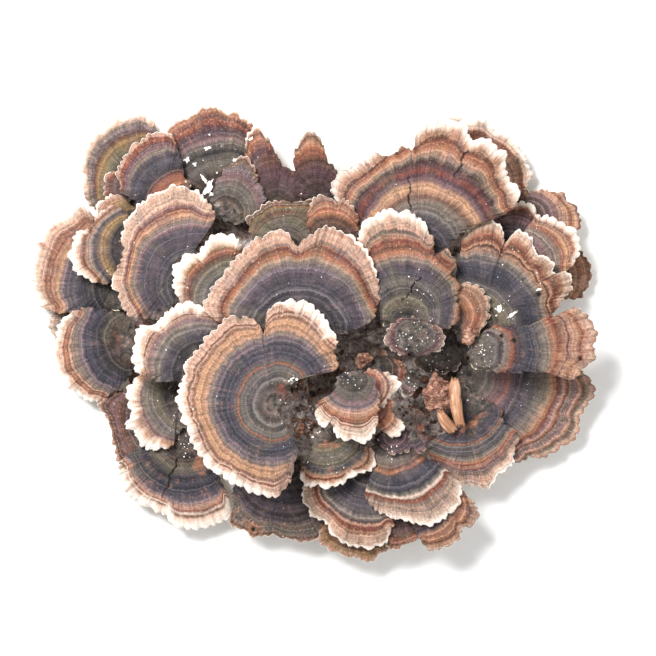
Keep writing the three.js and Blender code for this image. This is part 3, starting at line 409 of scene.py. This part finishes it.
def levels_from(start):
    """Corners of a mesh in steps outwards from one corner."""
    levels, seen = [[start]], {start}
    while levels[-1]:
        step = {edge.other_vert(v) for v in levels[-1] for edge in v.link_edges} - seen
        seen |= step
        levels.append(list(step))
    return levels[:-1]


def walked(level):
    """A ring's corners in order, anticlockwise from above, from the same corner each time."""
    ring = [max(level, key=lambda v: (v.co.x, v.co.y))]
    members = set(level) - set(ring)
    while members:
        step = next(v for v in (edge.other_vert(ring[-1]) for edge in ring[-1].link_edges) if v in members)
        members.discard(step)
        ring.append(step)
    spots = np.array([v.co for v in ring])
    turned = np.roll(spots, -1, axis=0)
    area = (spots[:, 0] * turned[:, 1] - turned[:, 0] * spots[:, 1]).sum()
    return spots if area > 0 else spots[::-1]


def rings_of(node):
    """The solid's umbo, its rings from the umbo round to the seat, and the middle of its seat, in mm."""
    bm = copied(node)
    count = (len(bm.verts) - 2) // 6
    for corner in sorted(bm.verts, key=lambda v: -v.co.z):
        levels = levels_from(corner)
        if len(corner.link_edges) == count and [len(level) for level in levels[:6]] == [1] + [count] * 5:
            break
    rings = [walked(level) / MM for level in levels[1:6]]
    for i in range(1, 5):
        gaps = [np.linalg.norm(np.roll(rings[i], k, axis=0) - rings[i - 1], axis=1).sum() for k in range(count)]
        rings[i] = np.roll(rings[i], int(np.argmin(gaps)), axis=0)
    umbo, base = np.array(corner.co) / MM, np.array(corner.co) / MM
    base[2] = min(v.co.z for v in bm.verts) / MM
    bm.free()
    seat = base + (rings[4] - base) * 0.55
    seat[:, 2] = base[2]
    return umbo, rings + [seat], base


def round_ring(ring, knots, at):
    """Points of a smooth closed curve through a ring, at distances measured along the margin."""
    n, length = len(ring), knots[-1]
    wide = np.concatenate([ring[-2:], ring, ring[:3]])
    places = np.concatenate([knots[-3:-1] - length, knots[:-1], knots[:3] + length])
    tangents = np.zeros_like(wide)
    tangents[1:-1] = (wide[2:] - wide[:-2]) / (places[2:] - places[:-2])[:, None]
    i = np.clip(np.searchsorted(places, at, side="right") - 1, 1, n + 1)
    span = places[i + 1] - places[i]
    t = ((at - places[i]) / span)[:, None]
    span = span[:, None]
    return (
        wide[i] * (2 * t**3 - 3 * t**2 + 1)
        + tangents[i] * span * (t**3 - 2 * t**2 + t)
        + wide[i + 1] * (3 * t**2 - 2 * t**3)
        + tangents[i + 1] * span * (t**3 - t**2)
    )


def ripple(turn, low, high, dice, drift=0.0):
    """A smooth wave round a cap, of low to high crests, between about -1 and 1."""
    counts = np.arange(max(1, round(low)), max(2, round(high)) + 1)
    phases = dice.uniform(0, 2 * math.pi, len(counts))
    drifts = dice.uniform(-1, 1, len(counts))
    strengths = dice.uniform(0.4, 1, len(counts)) / np.sqrt(len(counts))
    total = np.zeros_like(turn)
    for crests, phase, lean, strength in zip(counts, phases, drifts, strengths):
        total += strength * np.cos(crests * turn + phase + lean * drift)
    return total


def smooth_step(low, high, x):
    """0 up to low, 1 from high on, and an S-shaped rise between them."""
    t = np.clip((x - low) / (high - low), 0, 1)
    return t * t * (3 - 2 * t)


def line_falloff(spots, lines):
    """1 on some wavering, tapered lines and 0 away from them, in plan."""
    near = np.zeros(len(spots))
    for x0, y0, x1, y1, half in lines:
        start, way = np.array([x0, y0]), np.array([x1 - x0, y1 - y0])
        length = np.linalg.norm(way)
        along = (spots[:, :2] - start) @ way / length
        across = (spots[:, :2] - start) @ (way[::-1] * [1, -1]) / length
        waver = min(1.0, length / 8) * (0.45 * np.sin(0.8 * along + x0) + 0.22 * np.sin(2.1 * along + y0))
        gap = np.hypot(across - waver, np.maximum(0, np.abs(along - length / 2) - length / 2))
        slim = half * (0.5 + 0.5 * np.sin(np.pi * np.clip(along / length, 0.08, 0.92))) if length > 4 else half
        near = np.maximum(near, 1 - smooth_step(0.5, 1.5, gap / slim))
    return near


def turned_shell(across, steps):
    """A closed turned body of radius 1: out over its top at height 1, and back under it at height 0."""
    bm = bmesh.new()
    top = [(share, 1.0) for share in across]
    under = [(share, 0.0) for share in (1.0, 0.93, 0.8, 0.68, 0.56, 0.45, 0.32, 0.2, 0.1, 0.0)]
    corners = [bm.verts.new((x, 0, z)) for x, z in top + [(1.0, 0.5)] + under]
    for a, b in zip(corners, corners[1:]):
        bm.edges.new((a, b))
    bmesh.ops.spin(
        bm, geom=bm.verts[:] + bm.edges[:], cent=(0, 0, 0), axis=(0, 0, 1), angle=2 * math.pi, steps=steps,
        use_merge=True,
    )
    bmesh.ops.remove_doubles(bm, verts=bm.verts, dist=1e-5)
    bmesh.ops.recalc_face_normals(bm, faces=bm.faces)
    mesh = bpy.data.meshes.new("shell")
    bm.to_mesh(mesh)
    bm.free()
    return mesh


def plain_faces(umbo, rings, base, share, level):
    """Fine corners on a plain cap: a curve through its upper rings, and straight between the lower ones."""
    half, outer, margin, inner, foot, seat = rings
    upper, lower = np.zeros_like(margin), np.zeros_like(margin)
    for i, ring in enumerate((umbo, half, outer, margin)):
        weight = np.ones_like(share)
        for j, stop in enumerate(UPPER_SHARES):
            if j != i:
                weight *= (share - stop) / (UPPER_SHARES[i] - stop)
        upper += weight[:, None] * ring
    for i, ring in enumerate((base, seat, foot, inner, margin - [0, 0, LIP])):
        weight = np.interp(share, UNDER_SHARES, np.eye(len(UNDER_SHARES))[i])
        lower += weight[:, None] * ring
    return np.where((level > 0.25)[:, None], upper, lower)


def bearing(rays):
    """Directions of rays in plan, counted in bins."""
    return np.degrees(np.arctan2(rays[:, 1], rays[:, 0])) % 360 / BIN


def growth_zones(node, umbo, margin, reach, spots, share, level):
    """Each corner's zone, distance to the rim, width of white edge and age, as CAP_FIELDS says.

    Zones are arcs round the heart of the cap, near its cut side, and follow the margin on its open front.
    """
    spoke = (margin - umbo)[:, :2]
    span = np.linalg.norm(spoke, axis=1)
    middle = np.mean(margin[level > 0.9], axis=0)[:2] - umbo[:2]
    lean = np.linalg.norm(middle) / reach
    facing = spoke @ middle / (span * np.linalg.norm(middle))
    width = math.cos(math.radians(OPEN_SIDE.get(node, USUAL_OPEN_SIDE)))
    open_side = smooth_step(width - 0.3, width + 0.25, facing)
    open_side = np.maximum(open_side, 1 - smooth_step(0.1, 0.22, np.full_like(span, lean)))
    back = span[np.argmin(facing)] * float(smooth_step(0.1, 0.22, lean))
    heart = umbo[:2] - middle / np.linalg.norm(middle) * back
    ray, spot = margin[:, :2] - heart, spots[:, :2] - heart

    # How far the margin's outermost reach is from the heart, each way, smoothed over 30 degrees or so.
    bins = np.zeros(BINS)
    np.maximum.at(bins, bearing(ray).astype(int) % BINS, np.hypot(*ray.T))
    filled = np.flatnonzero(bins)
    bins = np.interp(np.arange(BINS), filled, bins[filled], period=BINS)
    wide = np.max([np.roll(bins, k) for k in range(-16, 17)], axis=0)
    wide = np.mean([np.roll(wide, k) for k in range(-14, 15)], axis=0)
    front = np.interp(bearing(spot), np.arange(BINS), wide, period=BINS)

    at_umbo = back / (back + np.quantile(span, 0.85))
    inside = np.maximum(0, (np.hypot(*spot.T) / front - at_umbo) / (1 - at_umbo))
    near_side = open_side * smooth_step(0.72, 0.9, np.hypot(*ray.T) / front)
    to_margin = smooth_step(0.62, 0.97, share) * near_side
    zone = inside * (1 - to_margin) + share * to_margin
    # The cut side also gets no painted shade of a turned-down edge.
    rim = (1 - share) * span + 14 * (1 - near_side)  # the cut side has no lip and no white edge

    aged = (1 - open_side) * (1 - smooth_step(1.5, 9, (1 - share) * span))
    old = OLD_FLESH.get(node, USUAL_OLD_FLESH)
    aged = np.maximum(aged, 0.85 * (1 - smooth_step(old * 0.45, old * 1.15, np.hypot(*spot.T))))
    heading = np.degrees(np.arctan2(spoke[:, 1], spoke[:, 0]))
    frost = np.zeros_like(span)
    for edge_width, way, each_side in WHITE_EDGE.get(node, []):
        off = np.abs((heading - way + 180) % 360 - 180)
        frost = np.maximum(frost, edge_width * (1 - smooth_step(each_side * 0.75, each_side * 1.2, off)))
    return zone, rim, frost, aged


def grow_cap(node, pores):
    """A fine cap over a plain one: lobed, toothed, ringed and furrowed above, with pores and a foot below."""
    umbo, rings, base = rings_of(node)
    margin = rings[2]
    dice = np.random.default_rng(sum(map(ord, node)))
    chords = np.linalg.norm(np.roll(margin, -1, axis=0) - margin, axis=1)
    knots = np.concatenate([[0], np.cumsum(chords)])
    girth = knots[-1]
    reach = np.linalg.norm(margin - umbo, axis=1).max()
    steps, rows = int(np.clip(girth / GRID, *SPOKES)), int(np.clip(reach / GRID, *ROWS))
    mesh = turned_shell(np.linspace(0, 1, rows + 1) ** CROWDING, steps)

    unit = np.empty(len(mesh.vertices) * 3)
    mesh.vertices.foreach_get("co", unit)
    x, y, level = unit.reshape(-1, 3).T
    share = np.clip(np.hypot(x, y), 0, 1)
    turn = np.arctan2(y, x) % (2 * math.pi)
    rings = [round_ring(ring, knots, turn / (2 * math.pi) * girth) for ring in rings]
    outer, margin = rings[1:3]
    spots = plain_faces(umbo, rings, base, share, level)
    zone, rim, frost, aged = growth_zones(node, umbo, margin, reach, spots, share, level)
    top = smooth_step(0.25, 0.9, level)
    on_lip = (level > 0.4) & (level < 0.6)

    # The margin runs out into lobes 7 to 16 mm long, scallops 4 mm long, teeth 1.7 mm long and finer ones.
    outward = margin - outer
    outward[:, 2] = 0
    outward /= np.maximum(np.linalg.norm(outward, axis=1), 1e-6)[:, None]
    lobes = 0.6 * ripple(turn, girth / 16, girth / 7, dice) * share**7
    scallops = np.abs(np.cos(round(girth / 8) * turn + 1.6 * ripple(turn, 3, girth / 14, dice)))
    teeth = np.abs(np.cos(round(girth / 3.4) * turn + 2.2 * ripple(turn, 5, girth / 6, dice)))
    frill = (1.1 * (scallops - 0.75) + 0.34 * (teeth - 0.7)) * share**20
    frill -= 0.25 * share**24
    frill += 0.1 * ripple(turn, girth / 2.6, girth / 1.2, dice) * share**30
    frill[on_lip] += 0.22
    spots += outward * (lobes + frill)[:, None]

    # It waves up and down with them. Furrows run along the spokes, and ridges along the zones.
    waves = 0.42 * ripple(turn, girth / 22, girth / 8, dice) * share**2
    waves += 0.2 * ripple(turn, girth / 7, girth / 3.5, dice) * share**8
    waves -= (0.6 * (1 - scallops) + 0.45 * (1 - teeth)) * smooth_step(0.7, 1, share)
    furrows = 0.25 * ripple(turn, girth / 5, girth / 1.9, dice, drift=zone * 2) * share * (1 - 0.4 * share)
    ridges = np.zeros_like(zone)
    for count in (7, 12, 19, 31):
        phase = dice.uniform(0, 6.28)
        ridges += np.cos(2 * math.pi * count * (zone + 0.02 * waves) + phase) * 0.11 * (7 / count) ** 0.5
    ridges *= smooth_step(0.04, 0.25, zone)
    scar = line_falloff(spots, SCARS.get(node, []))
    stain = line_falloff(spots, STAINS.get(node, ("", []))[1])
    spots[:, 2] += np.where(level > 0.25, waves, waves * smooth_step(0.4, 0.9, share))
    lumps = np.array([noise.turbulence((x / 2.6, y / 2.6, 0.0), 3, False) for x, y in spots[:, :2]]) - 0.5
    spots[:, 2] += (furrows + ridges * 0.8 - 0.75 * scar + 0.9 * lumps * aged) * top
    spots[:, 2] -= 0.28 * on_lip

    # Velvet above and pores below. The fan is the corner's place with every spoke as long as the next, in mm.
    centres = np.empty(len(mesh.polygons) * 3)
    mesh.polygons.foreach_get("center", centres)
    mesh.polygons.foreach_set("material_index", (centres.reshape(-1, 3)[:, 2] < 0.24).astype(int))
    mesh.vertices.foreach_set("co", (spots * MM).ravel())
    around = girth / (2 * math.pi)
    fan = np.stack([np.cos(turn) * around, np.sin(turn) * around, share * reach], axis=1)
    for field, values in zip(CAP_FIELDS, (zone, rim, frost, aged, scar, stain)):
        mesh.attributes.new(field, "FLOAT", "POINT").data.foreach_set("value", values.astype(np.float32))
    fans = mesh.attributes.new("fan", "FLOAT_VECTOR", "POINT")
    fans.data.foreach_set("vector", fan.astype(np.float32).ravel())
    mesh.shade_smooth()
    cap = keep(node + "_grown", mesh, node)
    mesh.materials.append(cap_velvet(node, reach))
    mesh.materials.append(pores)
    return cap


def keep(name, mesh, *nodes, slot=None):
    """Puts a finished mesh in the scene, riding on the one body and standing for its plain solids."""
    mesh.name = name
    piece = bpy.data.objects.new(name, mesh)
    bpy.context.collection.objects.link(piece)
    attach(piece, "root")
    if nodes:
        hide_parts(*nodes)
    return piece


pores = pore_layer()
caps = [grow_cap(node, pores) for node in BANDS]


# ---- tissue and wood ----


def tissue_finish():
    """Old fungal tissue: grey-brown, matt and knotted, with dark hollows, rusty patches and pale crusts.

    Its knots are 4 mm across, the rusty patches 9 mm and the flecks of crust 1 mm.
    """
    finish, tree = new_finish("dark_crusted_tissue")
    place = add(tree, "TexCoord", out="Object")
    lumps = add(tree, "TexNoise", place, Scale=240, Detail=6, Roughness=0.72)
    rusty = add(tree, "TexNoise", place, Scale=110, Detail=3, Roughness=0.6)
    flecks = add(tree, "TexNoise", place, Scale=1000, Detail=3, Roughness=0.7)
    tones = [(0.34, "#2F2828"), (0.43, "#6B5E5A"), (0.52, "#998A85"), (0.64, "#CDC0BA")]
    colour = add(tree, "ValToRGB", lumps, stops=tones)
    rust = add(tree, "MapRange", rusty, 0.55, 0.66, 0, 0.6)
    colour = add(tree, "Mix", rust, colour, "#7D4A36", data_type="RGBA")
    crust = add(tree, "MapRange", flecks, 0.57, 0.68, 0, 0.8)
    colour = add(tree, "Mix", crust, colour, "#D8CDC6", data_type="RGBA")
    relief = add(tree, "Math", lumps, flecks, operation="ADD")
    bump = add(tree, "Bump", Height=relief, Strength=0.9, Distance=0.0012)
    add(tree, "OutputMaterial", add(tree, "BsdfPrincipled", colour, Roughness=0.9, Normal=bump))
    return finish


def grow_tissue():
    """The mat: lumpy and knotted over the top, flat where it was cut."""
    bm = copied("base_tissue")
    bmesh.ops.subdivide_edges(bm, edges=bm.edges, cuts=5, use_grid_fill=True)
    upper = [v for v in bm.verts if v.co.z > 0.4 * MM]
    for _ in range(6):
        bmesh.ops.smooth_vert(bm, verts=upper, factor=0.5, use_axis_x=False, use_axis_y=False, use_axis_z=True)
    bm.normal_update()
    for corner in upper:
        spot = corner.co / MM
        lump = noise.turbulence(spot / 7, 4, False) - 0.5
        knots = noise.turbulence(spot / 2.2, 3, True) - 0.5
        height = min(1.0, corner.co.z / MM / 3)
        corner.co += corner.normal * (lump * 1.6 + knots * 1.1 - 0.5) * height * MM
    mesh = bpy.data.meshes.new("tissue")
    bm.to_mesh(mesh)
    bm.free()
    mesh.shade_smooth()
    mesh.materials.append(tissue_finish())
    return keep("base_tissue_grown", mesh, "base_tissue")


tissue = grow_tissue()


def rotten_finish():
    """Brown-rotted wood: soft reddish-brown crumb in lumps 2.4 mm across, cracked into cubes 3.3 mm across."""
    finish, tree = new_finish("crumbling_brown_rot")
    place = add(tree, "TexCoord", out="Object")
    lumps = add(tree, "TexNoise", place, Scale=420, Detail=6, Roughness=0.75)
    checks = add(tree, "TexVoronoi", place, feature="DISTANCE_TO_EDGE", Scale=300)
    tones = [(0.32, "#3A211B"), (0.44, "#7D5342"), (0.54, "#A67B67"), (0.67, "#D6B8A4")]
    colour = add(tree, "ValToRGB", lumps, stops=tones)
    crack = add(tree, "MapRange", checks, 0.01, 0.1, 0.5, 0)
    colour = add(tree, "Mix", crack, colour, "#3B1D17", data_type="RGBA")
    bump = add(tree, "Bump", Height=lumps, Strength=0.9, Distance=0.0008)
    add(tree, "OutputMaterial", add(tree, "BsdfPrincipled", colour, Roughness=0.9, Normal=bump))
    return finish


def splinter_finish():
    """Dry split softwood: pale tan with late-wood streaks 0.7 mm wide and damp brown blotches."""
    finish, tree = new_finish("dry_split_softwood")
    along = add(tree, "Attribute", attribute_name="grain", out="Vector")
    drawn_out = add(tree, "Mapping", along, Scale=(0.12, 1.5, 1.5))
    streaks = add(tree, "TexNoise", drawn_out, Scale=1, Detail=5, Roughness=0.65)
    tones = [(0.3, "#7B5138"), (0.46, "#AE7F62"), (0.58, "#C9A084"), (0.75, "#DDBFA6")]
    colour = add(tree, "ValToRGB", streaks, stops=tones)
    blotches = add(tree, "TexNoise", add(tree, "Mapping", along, Scale=(0.2, 0.3, 0.3)), Scale=1, Detail=2)
    damp = add(tree, "MapRange", blotches, 0.42, 0.58, 0, 0.75)
    colour = add(tree, "Mix", damp, colour, "#8F5E3C", data_type="RGBA")
    bump = add(tree, "Bump", Height=streaks, Strength=0.8, Distance=0.0005)
    add(tree, "OutputMaterial", add(tree, "BsdfPrincipled", colour, Roughness=0.7, Normal=bump))
    return finish


def crumble(node, finish, depth):
    """A lump of rotten wood, broken up all over to a depth in mm."""
    bm = copied(node)
    bmesh.ops.subdivide_edges(bm, edges=bm.edges, cuts=7, use_grid_fill=True)
    for _ in range(3):
        bmesh.ops.smooth_vert(bm, verts=bm.verts, factor=0.5, use_axis_x=True, use_axis_y=True, use_axis_z=True)
    bm.normal_update()
    for corner in bm.verts:
        spot = corner.co / MM
        chunks = noise.noise(spot / 3.4)
        fibres = noise.turbulence((spot.x / 3.5, spot.y / 0.9, spot.z / 1.1), 3, True) - 0.5
        corner.co += corner.normal * ((chunks - 0.1) * depth * 1.4 + fibres * depth * 0.8) * MM
    mesh = bpy.data.meshes.new(node)
    bm.to_mesh(mesh)
    bm.free()
    mesh.materials.append(finish)
    return keep(node + "_broken", mesh, node)


def splinter(node, finish):
    """A splinter with torn ends, ridged along its grain."""
    bm = copied(node)
    bmesh.ops.subdivide_edges(bm, edges=bm.edges, cuts=9, use_grid_fill=True)
    spots = np.array([v.co for v in bm.verts]) / MM
    middle = spots.mean(axis=0)
    axes = np.linalg.svd(spots - middle, full_matrices=False)[2]
    grain = (spots - middle) @ axes.T
    half = np.abs(grain[:, 0]).max()
    bm.normal_update()
    for corner, (x, y, z) in zip(bm.verts, grain):
        ridge = noise.turbulence((x / 9, y / 0.9, z / 0.9), 3, False) - 0.5
        swell = noise.noise((x / 5, middle[0], middle[1])) - 1.4 * (x / half) ** 4
        torn = float(smooth_step(0.72, 1, abs(x) / half)) * (noise.noise((y * 1.7, z * 1.7, x / 30)) * 2.2 - 0.4)
        bow = 0.2 - 0.5 * (x / half) ** 2
        corner.co += (corner.normal * (0.5 + ridge * 0.3 + swell * 0.6)) * MM
        corner.co += (Vector(axes[0]) * math.copysign(torn, x) + Vector(axes[1]) * bow) * MM
    mesh = bpy.data.meshes.new(node)
    bm.to_mesh(mesh)
    bm.free()
    along = mesh.attributes.new("grain", "FLOAT_VECTOR", "POINT")
    along.data.foreach_set("vector", grain.astype(np.float32).ravel())
    mesh.shade_smooth()
    mesh.materials.append(finish)
    return keep(node + "_split", mesh, node)


rot = rotten_finish()
crumble("rotten_wood", rot, 1.5)
crumble("wood_crumb_left", rot, 0.9)
crumble("wood_crumb_right", rot, 0.9)
dry = splinter_finish()
splinter("wood_stick_long", dry)
splinter("wood_stick_short", dry)

# ---- crumbs and scraps that lie on the caps ----

# Sprinkles of white crumbs: middle x, y, spread, how many, size, all lengths in mm.
WHITE_CRUMBS = [
    (-8, -30, 9, 46, 0.45), (41, -1, 7, 40, 0.5), (67, -7, 6, 26, 0.6), (30, -48, 4, 14, 0.7),
    (15, -20, 5, 14, 0.5), (-38, 66, 9, 12, 0.9), (-52, -30, 9, 22, 0.5), (-52, -44, 6, 20, 0.6),
    (46, 18, 12, 16, 0.5), (55, -30, 10, 16, 0.6), (-20, 30, 18, 14, 0.4), (72, 10, 8, 18, 0.6),
    (-60, -4, 10, 10, 0.5), (10, -52, 10, 10, 0.5), (0, 40, 26, 16, 0.4), (80, 30, 14, 14, 0.5),
    (-70, 30, 16, 16, 0.45), (30, 55, 20, 14, 0.4), (85, -25, 14, 10, 0.4), (-20, -70, 12, 10, 0.5),
    (40, -24, 8, 30, 0.7), (46, -12, 7, 26, 0.6), (-7, -19, 2.4, 16, 1.0), (0, -38, 3, 12, 1.0),
    (-2, -28, 6, 20, 0.7), (10, -12, 5, 16, 0.7),
]
# Sprinkles of rotten crumbs, in the same way.
ROT_CRUMBS = [
    (-3, -24, 7, 40, 2.2), (8, -12, 7, 34, 2.6), (40, -22, 8, 44, 2.4), (48, -34, 6, 20, 2.0),
    (-3, -38, 5, 22, 2.0), (34, -32, 6, 18, 2.0), (54, -6, 5, 14, 1.6), (-45, 38, 3, 10, 1.6),
    (60, -16, 5, 12, 1.6), (24, -22, 5, 10, 1.8),
]
# Torn white scraps: x, y, length and width in mm, turn in degrees.
SCRAPS = [
    (-42.2, 74, 3.4, 1.3, 20), (-50.2, 69.2, 2.4, 1.5, 70), (-24.7, 77.7, 2.6, 1.1, 40),
    (-31.2, 69.2, 2.2, 1.3, 10), (-41.8, 58.2, 7.0, 2.4, 62), (-43.6, 61.5, 4.4, 1.5, 125),
    (-40.2, 55.5, 2.4, 1.6, 10), (79.7, 7.2, 5.2, 1.2, 35), (90.4, 17.2, 2.4, 0.8, 10),
    (74.5, 9.5, 3.0, 1.8, 80),
]


def chalk_finish():
    """Dried white mycelium: chalky, matt, off-white to white in specks 1 mm across."""
    finish, tree = new_finish("dried_white_mycelium")
    specks = add(tree, "TexNoise", add(tree, "TexCoord", out="Object"), Scale=900, Detail=3)
    colour = add(tree, "ValToRGB", specks, stops=[(0.35, "#CFC6BC"), (0.6, "#F6F2EC")])
    bump = add(tree, "Bump", Height=specks, Strength=0.6, Distance=0.0004)
    add(tree, "OutputMaterial", add(tree, "BsdfPrincipled", colour, Roughness=0.8, Normal=bump))
    return finish


def duff_finish():
    """Weathered bark and rot crumbs: dark umber to rusty brown in shades 3 mm across, matt and grainy."""
    finish, tree = new_finish("dark_rot_crumbs")
    place = add(tree, "TexCoord", out="Object")
    shades = add(tree, "TexNoise", place, Scale=300, Detail=5, Roughness=0.7)
    tones = [(0.36, "#1F1815"), (0.47, "#4A3228"), (0.55, "#7A4D38"), (0.66, "#9C8373")]
    colour = add(tree, "ValToRGB", shades, stops=tones)
    bump = add(tree, "Bump", Height=shades, Strength=0.8, Distance=0.0006)
    add(tree, "OutputMaterial", add(tree, "BsdfPrincipled", colour, Roughness=0.9, Normal=bump))
    return finish


STEEPEST = 0.35  # a crumb stays only where the surface faces up at least this much, 1 being level
SCRAP_SUNK, SCRAP_RAISED = 0.15, 0.3  # how far a scrap's two faces lie below and above the surface, mm


def scatter_crumbs():
    """Grit, rotten crumbs and torn scraps of white hyphae, resting on whatever lies under them."""
    depsgraph = bpy.context.evaluated_depsgraph_get()
    grounds = [BVHTree.FromObject(o, depsgraph) for o in caps + [tissue]]
    dice = np.random.default_rng(11)

    def landing(x, y, on_tissue=False):
        """The highest surface under a place: where it is, and which way it faces."""
        hits = [ground.ray_cast(Vector((x, y, 0.2)), Vector((0, 0, -1)))[:2] for ground in grounds]
        top = max((hit for hit in hits if hit[0]), key=lambda hit: hit[0].z, default=(None, None))
        return (None, None) if on_tissue and top != hits[-1] else top

    def sprinkle(places, flat, on_tissue=False):
        """Crumbs round each place, each turned to lie on what is under it, and flat times as high as long."""
        bm = bmesh.new()
        for x, y, spread, count, size in places:
            for _ in range(count):
                spot, way = landing(*dice.normal((x, y), spread * 0.6) * MM, on_tissue)
                long = size * dice.uniform(0.5, 1.5)
                shape = (long, long * dice.uniform(0.4, 1), long * flat)
                turn = Matrix.Rotation(dice.uniform(0, 6.28), 3, "Z")
                if spot is None or way.z < STEEPEST:
                    continue
                made = bmesh.ops.create_icosphere(bm, subdivisions=1, radius=0.5 * MM)["verts"]
                for corner in made:
                    corner.co *= dice.uniform(0.7, 1.25)
                laid = Vector((0, 0, 1)).rotation_difference(way).to_matrix()
                bmesh.ops.scale(bm, verts=made, vec=shape)
                bmesh.ops.rotate(bm, verts=made, matrix=laid @ turn)
                bmesh.ops.translate(bm, verts=made, vec=spot + Vector((0, 0, shape[2] * 0.25 * MM)))
        return bm

    def settled(bm, name, finish, slot):
        """Keeps the crumbs as one mesh that stands for no plain solid."""
        mesh = bpy.data.meshes.new(name)
        bm.to_mesh(mesh)
        bm.free()
        mesh.materials.append(finish)
        keep(name, mesh, slot=slot)

    white = sprinkle(WHITE_CRUMBS, 0.5)
    for x, y, length, width, turn in SCRAPS:
        made = bmesh.ops.create_circle(white, cap_ends=True, cap_tris=True, segments=22, radius=0.5)["verts"]
        for corner in made:
            corner.co *= dice.uniform(0.55, 1.3)
        bmesh.ops.scale(white, verts=made, vec=(length, width, 1))
        bmesh.ops.rotate(white, verts=made, matrix=Matrix.Rotation(math.radians(turn), 3, "Z"))
        faces = list(dict.fromkeys(face for corner in made for face in corner.link_faces))
        lifted = bmesh.ops.extrude_face_region(white, geom=faces)["geom"]
        lifted = [part for part in lifted if isinstance(part, bmesh.types.BMVert)]
        for corner, height in [(v, -SCRAP_SUNK) for v in made] + [(v, SCRAP_RAISED) for v in lifted]:
            corner.co.x, corner.co.y = (corner.co.x + x) * MM, (corner.co.y + y) * MM
            spot = landing(corner.co.x, corner.co.y)[0]
            corner.co.z = (spot.z if spot else 0) + height * MM
        faces = list(dict.fromkeys(face for corner in made + lifted for face in corner.link_faces))
        bmesh.ops.recalc_face_normals(white, faces=faces)

    settled(white, "white_crumbs", chalk_finish(), "cap_pale")
    settled(sprinkle(ROT_CRUMBS, 0.7, True), "rotten_crumbs", duff_finish(), "rotten_wood")


scatter_crumbs()

# ---- floor, light and camera ----

FLOOR_HALF = 3  # m
SKY = 0.44  # strength of the even light from all round
# Lamps: power in W, then size and place in m.
LAMPS = {"key": (32, 0.5, (-0.5, 0.55, 1.1)), "fill": (6, 1.2, (0.7, -0.4, 0.9))}
SENSOR = 36  # mm
VIEW_FROM, VIEW_WIDTH = 2500, 262.4  # how far off the camera is and how wide its view is there, mm
VIEW_CENTRE = (0.00615, 0.00185)  # where it looks, m
VIEW_LEVEL = 0.02  # height of that view above the cut face, m


def studio():
    """A pale floor, a broad soft light overhead and a softer fill, and the camera straight above."""
    bm = bmesh.new()
    bmesh.ops.create_grid(bm, x_segments=1, y_segments=1, size=FLOOR_HALF)
    mesh = bpy.data.meshes.new("floor")
    bm.to_mesh(mesh)
    bm.free()
    floor = bpy.data.objects.new("floor", mesh)
    bpy.context.collection.objects.link(floor)
    paper, tree = new_finish("white_studio_paper")
    add(tree, "OutputMaterial", add(tree, "BsdfPrincipled", (0.9, 0.9, 0.9, 1), Roughness=0.9))
    mesh.materials.append(paper)

    sky = bpy.data.worlds.new("studio")
    sky.use_nodes = True
    sky.node_tree.nodes["Background"].inputs["Color"].default_value = (1, 1, 1, 1)
    sky.node_tree.nodes["Background"].inputs["Strength"].default_value = SKY
    bpy.context.scene.world = sky
    for name, (power, size, spot) in LAMPS.items():
        lamp = bpy.data.lights.new(name, "AREA")
        lamp.energy, lamp.size = power, size
        light = bpy.data.objects.new(name, lamp)
        light.location = spot
        light.rotation_euler = (-Vector(spot)).to_track_quat("-Z", "Y").to_euler()
        bpy.context.collection.objects.link(light)

    lens = bpy.data.cameras.new("camera")
    lens.sensor_width = SENSOR
    lens.lens = SENSOR * VIEW_FROM / VIEW_WIDTH
    lens.clip_end = 10
    camera = bpy.data.objects.new("camera", lens)
    camera.location = (*VIEW_CENTRE, VIEW_FROM * MM + VIEW_LEVEL)
    bpy.context.collection.objects.link(camera)
    bpy.context.scene.camera = camera
    bpy.context.scene.view_settings.view_transform = "Standard"


studio()
